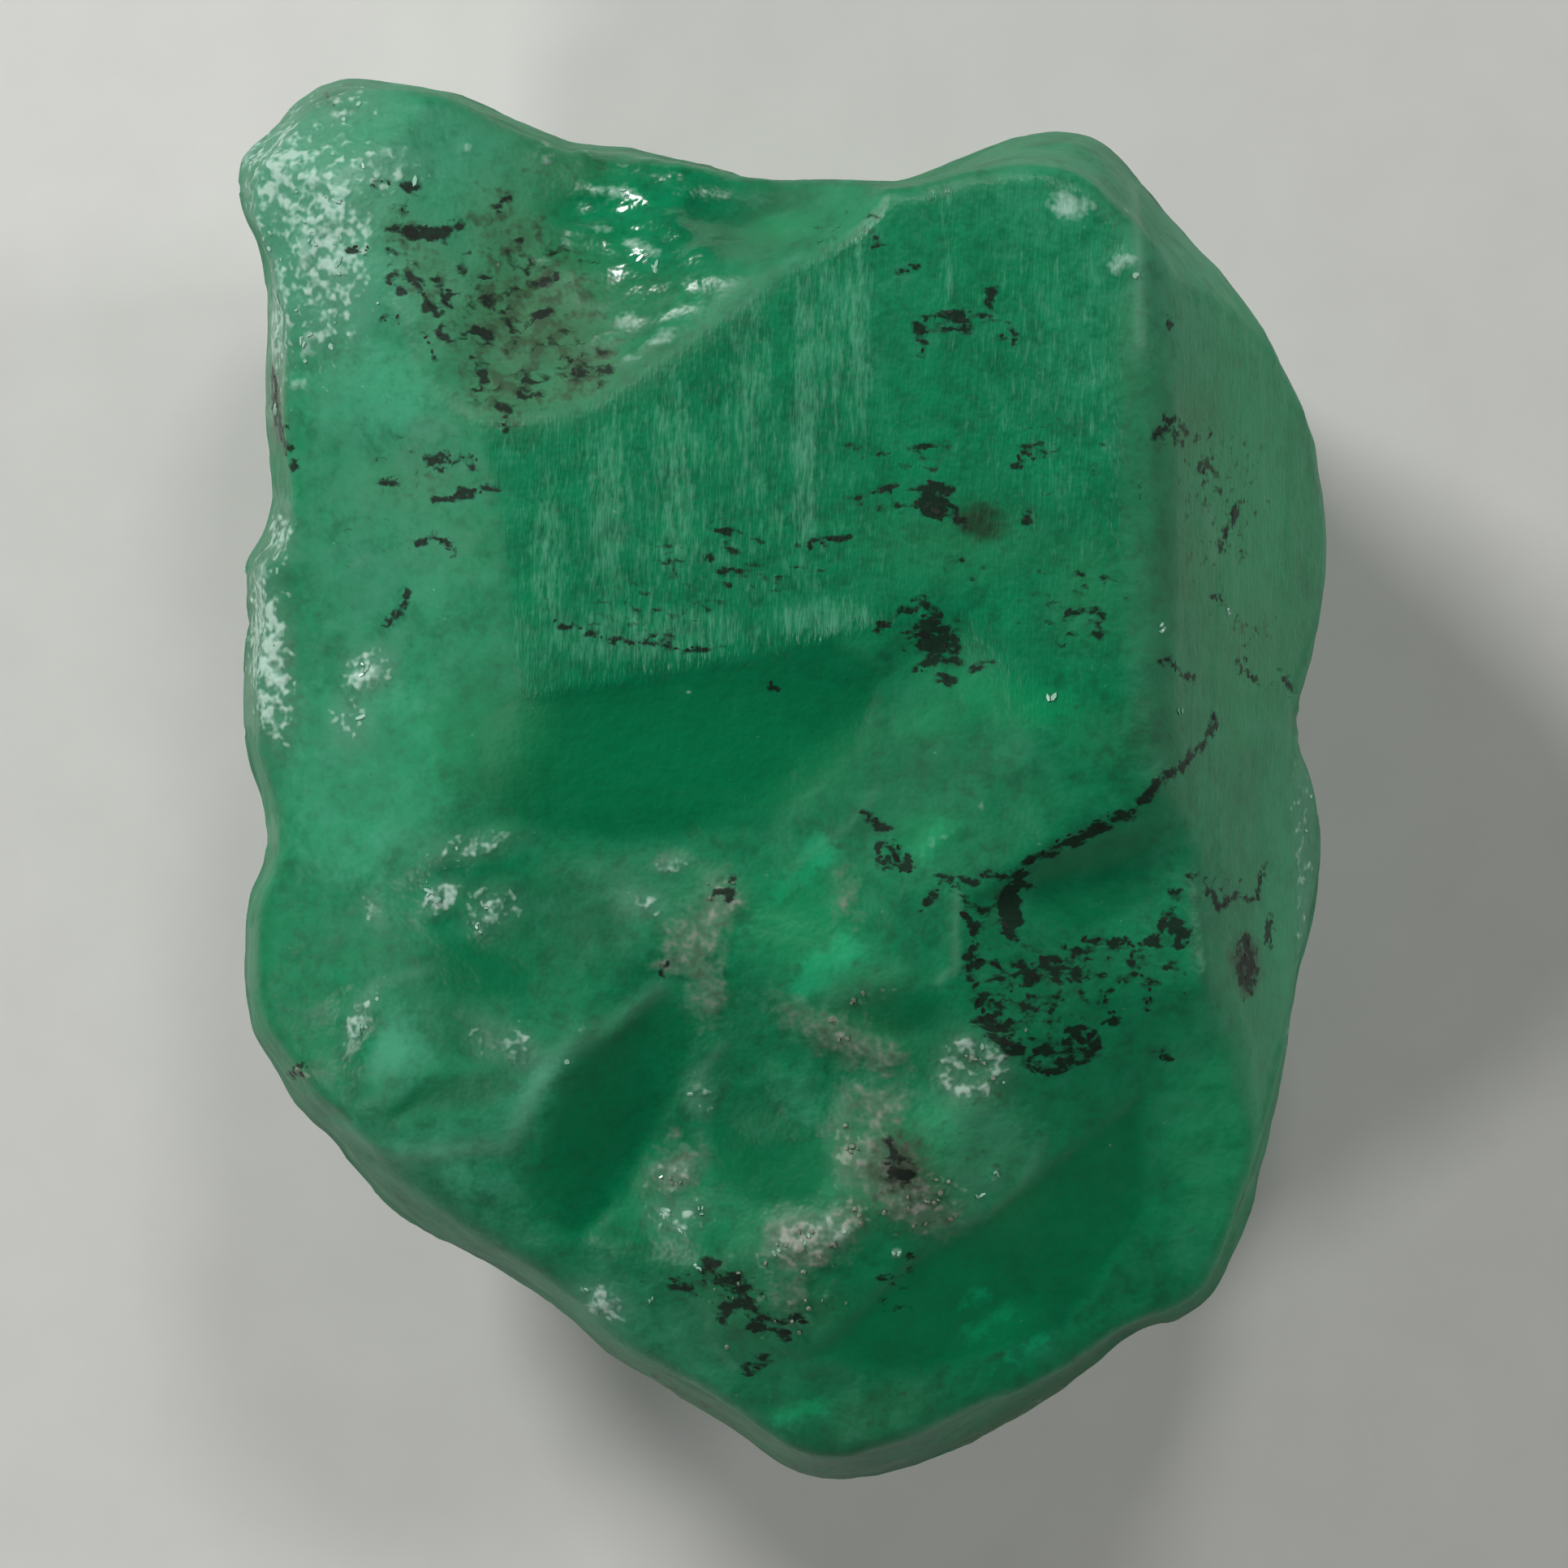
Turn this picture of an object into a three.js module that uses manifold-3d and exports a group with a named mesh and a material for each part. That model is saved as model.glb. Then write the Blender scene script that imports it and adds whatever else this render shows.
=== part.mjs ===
// Rough emerald: one broken length of a six-sided beryl crystal, about 17 mm long.
//
// The crystal's own axis lies along Y. Five of its six growth faces survive in part (front, front
// right, back right, back and back left), each 60 degrees from the next. The sixth is lost to the
// break on the left. Both ends and the lower front are fracture surfaces: wavy breaks, stepped
// notches, and shell-shaped scoops.
// The stone lies on its back growth face, so +Z is the front of the crystal and z = 0 is the
// flat that it rests on. Everything is in millimetres.

import * as THREE from "three";
import { mergeVertices, toCreasedNormals } from "three/addons/utils/BufferGeometryUtils.js";
import Module from "manifold-3d";

// ---------------------------------------------------------------- driving dimensions

const THICKNESS = 9.0; // between the front and back growth faces
const GIRDLE_HEIGHT = 4.6; // where the stone is widest
const BLANK_HALF_HEIGHT = 6.4; // the uncut blank, above and below the girdle
const BLANK_SQUARENESS = 4.6; // 2 is an ellipsoid's side, higher is boxier
const BLANK_SHRINK = 0.07; // how far the broken sides wander inwards, as a share of their radius
const GIRDLE_WANDER = 0.6; // how far the widest line wanders up and down
const GIRDLE_RISE = 0.13; // how far it climbs for each millimetre towards the upper end
const GIRDLE_PHASE = 3; // which patch of the undulation the girdle follows
const SIDE_PHASE = 8; // and which the broken sides follow
const LONG_WAVE = 0.7; // draws the girdle's waves out
const SHORT_WAVE = 1.5; // packs the waves up the sides closer
const OUTLINE_STEPS = 120; // sides of the outline
const BLANK_RINGS = 10; // rings from the girdle to each pole of the blank

const PRISM_ANGLE = THREE.MathUtils.degToRad(60); // between neighbouring growth faces of beryl
const RIGHT_EDGE_X = 4.35; // where the front face turns into the front right one
const LEFT_EDGE_X = -4.1; // where the back face turns into the back left one

const TOOL_SIZE = 28; // a cutting block, larger than the stone
const TOOL_DIVISIONS = 28; // cells along a cutting block's wavy side
const SCOOP_DETAIL = 9; // subdivisions of a scoop's icosahedron
const RIB_COUNT = 9; // how closely a scoop is ribbed
const CREASE_ANGLE = THREE.MathUtils.degToRad(18); // sharper ridges than this are drawn crisp

// Seen from the front, clockwise from the upper left horn.
const OUTLINE = [
  [-5.4, 8.65], [-4.25, 8.55], [-3.6, 8.25], [-2.65, 7.8], [-2.0, 7.8], [-1.25, 7.6],
  [-0.5, 7.35], [0.4, 7.3], [1.3, 7.32], [2.0, 7.55], [2.65, 7.78], [3.25, 7.92],
  [3.72, 7.82], [4.1, 7.55], [4.6, 7.0], [5.15, 6.4], [5.85, 5.5], [6.35, 4.6],
  [6.6, 3.65], [6.68, 2.6], [6.5, 1.75], [6.27, 0.95], [6.3, 0.4], [6.53, -0.15],
  [6.6, -0.95], [6.47, -1.85], [6.25, -2.6], [6.17, -3.35], [6.03, -4.25], [5.8, -5.15],
  [5.53, -5.95], [5.28, -6.4], [4.85, -6.68], [4.3, -6.84], [3.55, -7.45], [2.75, -7.98],
  [1.95, -8.4], [1.35, -8.6], [0.75, -8.68], [0.2, -8.56], [-0.35, -8.2], [-0.95, -7.75],
  [-1.65, -7.38], [-2.2, -7.1], [-2.65, -6.65], [-3.25, -6.2], [-3.95, -5.8], [-4.65, -5.43],
  [-5.1, -5.05], [-5.55, -4.45], [-6.03, -4.05], [-6.25, -3.6], [-6.6, -3.05], [-6.65, -2.15],
  [-6.6, -1.45], [-6.37, -1.05], [-6.4, -0.25], [-6.62, 0.35], [-6.65, 1.35], [-6.57, 1.95],
  [-6.62, 2.65], [-6.3, 3.2], [-6.32, 4.05], [-6.37, 4.95], [-6.33, 5.85], [-6.43, 6.55],
  [-6.67, 7.05], [-6.67, 7.6], [-6.3, 7.95], [-5.95, 8.37],
];

const wasm = await Module();
wasm.setup();

// ---------------------------------------------------------------- solids

// A closed three.js geometry as a manifold-3d solid.
function solidOf(geometry) {
  geometry.deleteAttribute("normal");
  geometry.deleteAttribute("uv");
  const merged = mergeVertices(geometry, 1e-4);
  return new wasm.Manifold(
    new wasm.Mesh({
      numProp: 3,
      vertProperties: merged.attributes.position.array,
      triVerts: new Uint32Array(merged.index.array),
    }),
  );
}

function geometryOf(solid) {
  const mesh = solid.getMesh();
  const geometry = new THREE.BufferGeometry();
  geometry.setAttribute("position", new THREE.BufferAttribute(mesh.vertProperties, mesh.numProp));
  geometry.setIndex(new THREE.BufferAttribute(mesh.triVerts, 1));
  return toCreasedNormals(geometry, CREASE_ANGLE);
}

// A smooth uneven height over a plane, between about -1 and 1. The phase picks another patch of it.
function undulation(u, v, phase) {
  return (
    0.5 * Math.sin(0.8 * u + 0.4 * v + 1.7 * phase) +
    0.3 * Math.sin(-0.5 * u + 1.1 * v + 2.9 * phase) +
    0.2 * Math.sin(1.6 * u - 1.3 * v + 4.3 * phase)
  );
}

// The uncut blank: the outline at the girdle, closing over to a pole above and one below.
function blank() {
  const curve = new THREE.CatmullRomCurve3(
    OUTLINE.map(([x, y]) => new THREE.Vector3(x, y, 0)),
    true,
    "centripetal",
  );
  const outline = curve.getPoints(OUTLINE_STEPS).slice(0, OUTLINE_STEPS).reverse();
  const points = [];
  const faces = [];
  for (let ring = 1 - BLANK_RINGS; ring < BLANK_RINGS; ring++) {
    const rise = Math.sin((ring / BLANK_RINGS) * (Math.PI / 2));
    const spread = (1 - Math.abs(rise) ** BLANK_SQUARENESS) ** (1 / BLANK_SQUARENESS);
    const z = GIRDLE_HEIGHT + rise * BLANK_HALF_HEIGHT;
    for (const p of outline) {
      const wander = 0.5 + 0.5 * undulation(SHORT_WAVE * z, p.x + LONG_WAVE * p.y, SIDE_PHASE);
      const reach = spread * (1 - BLANK_SHRINK * wander * Math.min(1, 3 * Math.abs(rise)));
      const wave = undulation(LONG_WAVE * p.x, LONG_WAVE * p.y, GIRDLE_PHASE);
      const lift = GIRDLE_RISE * p.y + GIRDLE_WANDER * wave;
      points.push(p.x * reach, p.y * reach, z + lift);
    }
  }
  const rings = 2 * BLANK_RINGS - 1;
  const bottomPole = points.length / 3;
  points.push(0, 0, GIRDLE_HEIGHT - BLANK_HALF_HEIGHT);
  points.push(0, 0, GIRDLE_HEIGHT + BLANK_HALF_HEIGHT);
  for (let i = 0; i < OUTLINE_STEPS; i++) {
    const next = (i + 1) % OUTLINE_STEPS;
    for (let ring = 0; ring < rings - 1; ring++) {
      const low = ring * OUTLINE_STEPS;
      const high = low + OUTLINE_STEPS;
      faces.push(low + i, low + next, high + next, low + i, high + next, high + i);
    }
    const last = (rings - 1) * OUTLINE_STEPS;
    faces.push(bottomPole, next, i, bottomPole + 1, last + i, last + next);
  }
  const geometry = new THREE.BufferGeometry();
  geometry.setAttribute("position", new THREE.Float32BufferAttribute(points, 3));
  geometry.setIndex(faces);
  return solidOf(geometry);
}

// What lies outside a plane, as a block. Its cutting side passes through the point, faces along
// the normal, and undulates by the wave height, so that a growth face has none.
function outside({ point, normal, wave = 0, phase = 0 }) {
  const divisions = wave > 0 ? TOOL_DIVISIONS : 1;
  const block = new THREE.BoxGeometry(TOOL_SIZE, TOOL_SIZE, TOOL_SIZE, divisions, divisions, 1);
  block.translate(0, 0, TOOL_SIZE / 2);
  const position = block.attributes.position;
  for (let i = 0; i < position.count; i++) {
    if (position.getZ(i) < TOOL_SIZE / 2) {
      position.setZ(i, wave * undulation(position.getX(i), position.getY(i), phase));
    }
  }
  const turn = new THREE.Quaternion().setFromUnitVectors(
    new THREE.Vector3(0, 0, 1),
    new THREE.Vector3(...normal).normalize(),
  );
  block.applyQuaternion(turn);
  block.translate(...point);
  return solidOf(block);
}

// A shell-shaped scoop: an ellipsoid turned about Z, faintly ribbed by that share of its radius.
function scoop({ centre, radii, turn, ribs }) {
  const shell = new THREE.IcosahedronGeometry(1, SCOOP_DETAIL);
  const position = shell.attributes.position;
  const p = new THREE.Vector3();
  for (let i = 0; i < position.count; i++) {
    p.fromBufferAttribute(position, i);
    p.multiplyScalar(1 + ribs * Math.sin(RIB_COUNT * (p.x + p.y / 2)));
    position.setXYZ(i, p.x, p.y, p.z);
  }
  shell.scale(...radii);
  shell.rotateZ(THREE.MathUtils.degToRad(turn));
  shell.translate(...centre);
  return solidOf(shell);
}

// ---------------------------------------------------------------- the stone's faces

const slope = Math.sin(PRISM_ANGLE);
const lean = Math.cos(PRISM_ANGLE);

const GROWTH_FACES = [
  { name: "front", point: [0, 0, THICKNESS], normal: [0, 0, 1] },
  { name: "front right", point: [RIGHT_EDGE_X, 0, THICKNESS], normal: [slope, 0, lean] },
  { name: "back right", point: [RIGHT_EDGE_X, 0, 0], normal: [slope, 0, -lean] },
  { name: "back left", point: [LEFT_EDGE_X, 0, 0], normal: [-slope, 0, -lean] },
  { name: "back", point: [0, 0, 0], normal: [0, 0, -1] },
];

const BREAKS = [
  { name: "left shoulder", point: [-4.7, 6.4, 8.5], normal: [-0.45, -0.05, 0.88], wave: 0.12, phase: 1 },
  { name: "horn", point: [-5.3, 7.5, 8], normal: [-0.3, 0.6, 0.74], wave: 0.12, phase: 9 },
  { name: "lower front", point: [3, 0.5, 9], normal: [0.1, -0.2, 0.97], wave: 0.08, phase: 12 },
  { name: "lower right", point: [3.2, -4.1, 7.6], normal: [0.26, -0.4, 0.87], wave: 0.1, phase: 2 },
  { name: "lower left", point: [-3.6, -4.4, 8], normal: [-0.3, -0.6, 0.74], wave: 0.16, phase: 3 },
  { name: "lower tip", point: [0.6, -7.4, 6.7], normal: [-0.14, -0.5, 0.85], wave: 0.1, phase: 4 },
  { name: "upper end", point: [0.5, 7.3, 3], normal: [0.05, 0.93, -0.36], wave: 0.2, phase: 5 },
  { name: "back lower", point: [0.4, -7.6, 2.4], normal: [0.1, -0.72, -0.69], wave: 0.2, phase: 6 },
  { name: "back lower left", point: [-4, -5.3, 3.2], normal: [-0.55, -0.5, -0.67], wave: 0.16, phase: 8 },
  { name: "back lower right", point: [5, -6, 3.2], normal: [0.6, -0.5, -0.62], wave: 0.14, phase: 2 },
  { name: "back upper left", point: [-5, 6.3, 1.6], normal: [-0.5, 0.5, -0.7], wave: 0.16, phase: 7 },
];

// Steps broken into the front: each takes away what lies outside all of its walls.
const NOTCHES = [
  {
    name: "stained valley beside the horn",
    walls: [
      { point: [-0.4, 5.9, 9], normal: [-0.36, 0.48, 0.8], wave: 0.06, phase: 10 },
      { point: [-2.8, 4.45, 9], normal: [-0.1, 0.5, 0.86], wave: 0.06, phase: 17 },
      { point: [-4.7, 6.4, 8.5], normal: [0.3, 0.3, 0.9], wave: 0.1, phase: 11 },
    ],
  },
  {
    name: "trough under the front face",
    walls: [
      { point: [-1.1, 1.45, 9], normal: [0.06, -0.34, 0.94], wave: 0.05, phase: 20 },
      { point: [-1, -0.8, 8.3], normal: [0.02, 0.1, 0.99], wave: 0.1, phase: 21 },
      { point: [1.9, 0.6, 8.75], normal: [-0.12, -0.1, 0.98], wave: 0.08, phase: 22 },
    ],
  },
  {
    name: "lower left field",
    walls: [
      { point: [-4.5, -1, 8.2], normal: [-0.06, -0.36, 0.93], wave: 0.12, phase: 24 },
      { point: [-3.4, -2.6, 8.15], normal: [-0.1, -0.05, 0.99], wave: 0.14, phase: 19 },
    ],
  },
  {
    name: "hollow right of the ridge",
    walls: [
      { point: [-2.2, -3, 8.2], normal: [0.34, -0.4, 0.85], wave: 0.08, phase: 13 },
      { point: [0.6, -4.6, 7.75], normal: [-0.22, 0.08, 0.97], wave: 0.12, phase: 14 },
      { point: [-0.4, -2.7, 8.2], normal: [-0.06, -0.42, 0.9], wave: 0.1, phase: 18 },
    ],
  },
  {
    name: "flat over the dark net",
    walls: [
      { point: [3.5, -0.6, 8.7], normal: [0.3, -0.62, 0.72], wave: 0.05, phase: 15 },
      { point: [2.15, -1.8, 8.4], normal: [0.7, -0.1, 0.7], wave: 0.04, phase: 23 },
      { point: [4, -2, 8], normal: [0.2, -0.1, 0.97], wave: 0.06, phase: 16 },
    ],
  },
];

const SCOOPS = [
  { name: "glassy dent", centre: [-0.5, 7.6, 9.9], radii: [2.1, 1.6, 2.4], turn: 12, ribs: 0.006 },
  { name: "back right", centre: [7.4, 5.4, -1.6], radii: [4.6, 5, 3.6], turn: -20, ribs: 0.01 },
  { name: "back left", centre: [-7.4, -3.4, -1.4], radii: [4.4, 4.8, 3.6], turn: 10, ribs: 0.01 },
];

// ---------------------------------------------------------------- the stone

let stone = blank();
for (const face of [...GROWTH_FACES, ...BREAKS]) stone = stone.subtract(outside(face));
for (const { walls } of NOTCHES) {
  const corner = walls.map(outside).reduce((kept, next) => kept.intersect(next));
  stone = stone.subtract(corner);
}
for (const hollow of SCOOPS) stone = stone.subtract(scoop(hollow));

// The origin is the middle of the stone's box, at the level that it rests on.
const box = stone.boundingBox();
stone = stone.translate([
  -(box.min[0] + box.max[0]) / 2,
  -(box.min[1] + box.max[1]) / 2,
  -box.min[2],
]);

const emerald = new THREE.Mesh(
  geometryOf(stone),
  new THREE.MeshStandardMaterial({ color: 0x0b6e45, roughness: 0.32, metalness: 0 }),
);
emerald.name = "emerald";

const part = new THREE.Group();
part.add(emerald);

export default part;
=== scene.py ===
"""The looks of a rough emerald: one broken length of a six-sided beryl crystal, lying on its back face.

The stone's skin is a copy of the solid, drawn finer, with its shell breaks, ripples, ledges and
bruises raised or sunk in it. Places on the stone are in millimetres in the part's own frame: X and Y
as seen from straight above, with the crystal's long axis along Y and the front face up. The sides
and the back carry the same finishes, placed by noise.
"""

import math
import random

import bpy
import numpy as np
from mathutils import Matrix, Vector, noise
from mathutils.bvhtree import BVHTree


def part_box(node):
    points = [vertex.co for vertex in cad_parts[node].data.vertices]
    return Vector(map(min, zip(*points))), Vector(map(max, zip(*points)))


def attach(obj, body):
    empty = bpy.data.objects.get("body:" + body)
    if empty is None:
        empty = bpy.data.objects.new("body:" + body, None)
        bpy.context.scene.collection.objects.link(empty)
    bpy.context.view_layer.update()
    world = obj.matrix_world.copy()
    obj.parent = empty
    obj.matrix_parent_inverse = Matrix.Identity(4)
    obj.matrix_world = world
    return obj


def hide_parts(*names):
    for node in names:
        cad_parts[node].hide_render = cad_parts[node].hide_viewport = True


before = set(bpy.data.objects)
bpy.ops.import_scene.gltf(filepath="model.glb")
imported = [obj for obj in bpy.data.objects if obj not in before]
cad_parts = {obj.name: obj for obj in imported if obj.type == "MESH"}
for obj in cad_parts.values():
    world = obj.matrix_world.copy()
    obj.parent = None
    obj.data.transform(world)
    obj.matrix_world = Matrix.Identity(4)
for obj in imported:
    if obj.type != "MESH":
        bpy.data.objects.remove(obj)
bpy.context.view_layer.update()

STONE_LOW, STONE_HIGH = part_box("emerald")

MM = 0.001  # metres
TOP = STONE_HIGH.z / MM  # height of the front growth face
SKIN_CELL = 0.096  # width of the skin's small faces
FRONT_FROM = 3.6  # the front's own markings fade out below this height
FRONT_FULL = 5.2  # and are whole above this one
BROW = (3.2, 4.4)  # the heights between which the steep rim turns into the front
FADE = 0.3  # mm, how far inside an outline its field reaches 1
FRESH_ROUNDS = 5  # rounds of smoothing that round every edge a little
WORN_ROUNDS = 90  # and those that wear an edge away
# The finishes as the skin stores them, three to a layer
LAYERS = [
    ("frost", "crust", "rock"),
    ("veil", "growth", "lines"),
    ("milk", "stain", "wet"),
    ("shade", "glow", "smudge"),
    ("deep", "lit", "pale"),
    ("halo", "edge", "dull"),
]


# ---------------------------------------------------------------- helpers


def paint(code):
    """An sRGB hex colour as linear red, green, blue and alpha."""
    channels = [int(code[i : i + 2], 16) / 255 for i in (1, 3, 5)]
    linear = [c / 12.92 if c <= 0.04045 else ((c + 0.055) / 1.055) ** 2.4 for c in channels]
    return (*linear, 1.0)


def add(tree, kind, inputs=(), **settings):
    """Adds a shader node, sets it up, and joins or sets its inputs by name or number."""
    node = tree.nodes.new("ShaderNode" + kind)
    for name, value in settings.items():
        setattr(node, name, value)
    for name, value in dict(inputs).items():
        if isinstance(value, bpy.types.NodeSocket):
            tree.links.new(value, node.inputs[name])
        else:
            node.inputs[name].default_value = value
    return node


def bare_material(name):
    """A material with no nodes in it yet, and its node tree."""
    material = bpy.data.materials.new(name)
    material.use_nodes = True
    material.node_tree.nodes.clear()
    return material, material.node_tree


def put_in_scene(name, data):
    """A new object in the scene, holding that mesh, lamp or camera."""
    thing = bpy.data.objects.new(name, data)
    bpy.context.scene.collection.objects.link(thing)
    return thing


def ease(value, low, high):
    """0 below low, 1 above high, and a smooth climb between them."""
    t = np.clip((value - low) / (high - low), 0, 1)
    return t * t * (3 - 2 * t)


def patches(points, places):
    """1 in the middle of each oval patch (x, y, half width, half height, turn, amount), 0 outside."""
    total = np.zeros(len(points))
    for x, y, half_width, half_height, turn, amount in places:
        c, s = math.cos(math.radians(turn)), math.sin(math.radians(turn))
        dx, dy = points[:, 0] - x, points[:, 1] - y
        reach = ((dx * c + dy * s) / half_width) ** 2 + ((dy * c - dx * s) / half_height) ** 2
        total = np.maximum(total, amount * np.exp(-(reach**1.5)))
    return total


def strokes(points, lines):
    """1 along each line (width, amount, [corners]), falling to 0 beyond its width."""
    total = np.zeros(len(points))
    for width, amount, corners in lines:
        for (x0, y0), (x1, y1) in zip(corners, corners[1:]):
            along = np.array([x1 - x0, y1 - y0])
            from_start = points[:, :2] - (x0, y0)
            t = np.clip(from_start @ along / (along @ along), 0, 1)
            away = np.linalg.norm(from_start - t[:, None] * along, axis=1)
            total = np.maximum(total, amount * np.exp(-((away / width) ** 2)))
    return total


def plates(points, outlines):
    """How deep each point lies inside any of these outlines: 0.5 on an outline, 1 well inside, 0 well out."""
    total = np.zeros(len(points))
    for outline in outlines:
        corners = np.array(outline)
        near = np.all(
            (points[:, :2] > corners.min(0) - FADE) & (points[:, :2] < corners.max(0) + FADE), axis=1
        )
        spots = points[near, :2]
        away = np.full(len(spots), FADE)
        within = np.zeros(len(spots), dtype=bool)
        for start, end in zip(corners, np.roll(corners, -1, axis=0)):
            along = end - start
            from_start = spots - start
            t = np.clip(from_start @ along / (along @ along), 0, 1)
            away = np.minimum(away, np.linalg.norm(from_start - t[:, None] * along, axis=1))
            beside = (start[1] > spots[:, 1]) != (end[1] > spots[:, 1])
            side_x = start[0] + from_start[:, 1] * along[0] / (along[1] or FADE)
            within ^= beside & (spots[:, 0] < side_x)
        total[near] = np.maximum(total[near], 0.5 + np.where(within, away, -away) / (2 * FADE))
    return total


def swells(points, size, seed):
    """Soft uneven swelling between about -1 and 1, with lumps of that size in millimetres."""
    spots = points / size + seed * 7.31
    return np.array([noise.noise(spot) for spot in spots.tolist()])


def shells(points, size, seed):
    """Shell-shaped hollows with sharp ridges between them, from 0 in a hollow to about 1 on a ridge."""
    spots = points / size + seed * 5.17
    return np.array([noise.voronoi(spot)[0][0] for spot in spots.tolist()]) ** 2


# ---------------------------------------------------------------- places on the front

# (x, y, half width, half height, turn in degrees, amount)
FROSTED = [
    (-6.0, 7.3, 0.7, 1.2, 0, 0.75),  # the horn, bruised white
    (-5.5, 6.5, 0.6, 1.5, 0, 0.8),
    (-6.1, 5.7, 0.35, 1.1, 0, 0.75),
    (-5.3, 8.2, 0.6, 0.4, 20, 0.6),
    (-4.9, 7.4, 0.6, 0.35, 0, 0.65),
    (-6.25, 1.6, 0.35, 1.2, 8, 1.0),  # left edge
    (-6.1, 3.0, 0.25, 0.4, 0, 0.8),
    (-5.0, 1.35, 0.35, 0.3, 40, 0.8),
    (-5.2, 0.8, 0.3, 0.5, 0, 0.5),
    (-3.7, -0.75, 0.6, 0.2, 10, 0.6),  # the lump with bright chips
    (-4.1, -1.35, 0.3, 0.2, 30, 0.9),
    (-3.5, -1.5, 0.4, 0.35, 30, 0.65),
    (-5.1, -2.8, 0.14, 0.45, -32, 0.85),
    (-4.9, -1.5, 0.2, 0.25, 20, 0.6),
    (-3.3, -3.15, 0.5, 0.25, -20, 0.6),
    (-2.2, -6.3, 0.35, 0.25, -30, 0.8),
    (-1.3, -5.2, 0.4, 0.25, 0, 0.7),
    (-1.3, -4.65, 0.35, 0.2, 20, 0.6),
    (-1.0, -3.7, 0.2, 0.3, 10, 0.6),
    (-1.35, -0.97, 0.22, 0.12, 10, 0.75),
    (-1.75, -1.45, 0.3, 0.18, 0, 0.55),
    (0.3, -5.45, 0.55, 0.25, 15, 0.75),
    (2.55, -3.4, 0.17, 0.19, 0, 0.85),  # a ring of crystals
    (2.45, -3.2, 0.17, 0.16, 0, 0.85),
    (2.2, -3.13, 0.18, 0.15, 0, 0.85),
    (1.99, -3.3, 0.15, 0.17, 0, 0.8),
    (1.98, -3.52, 0.15, 0.16, 0, 0.85),
    (2.15, -3.68, 0.18, 0.15, 0, 0.95),
    (2.4, -3.63, 0.17, 0.16, 0, 0.85),
    (2.27, -3.42, 0.5, 0.5, 0, 0.45),
    (6.35, -0.6, 0.16, 2.2, 0, 0.5),
]
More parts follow.
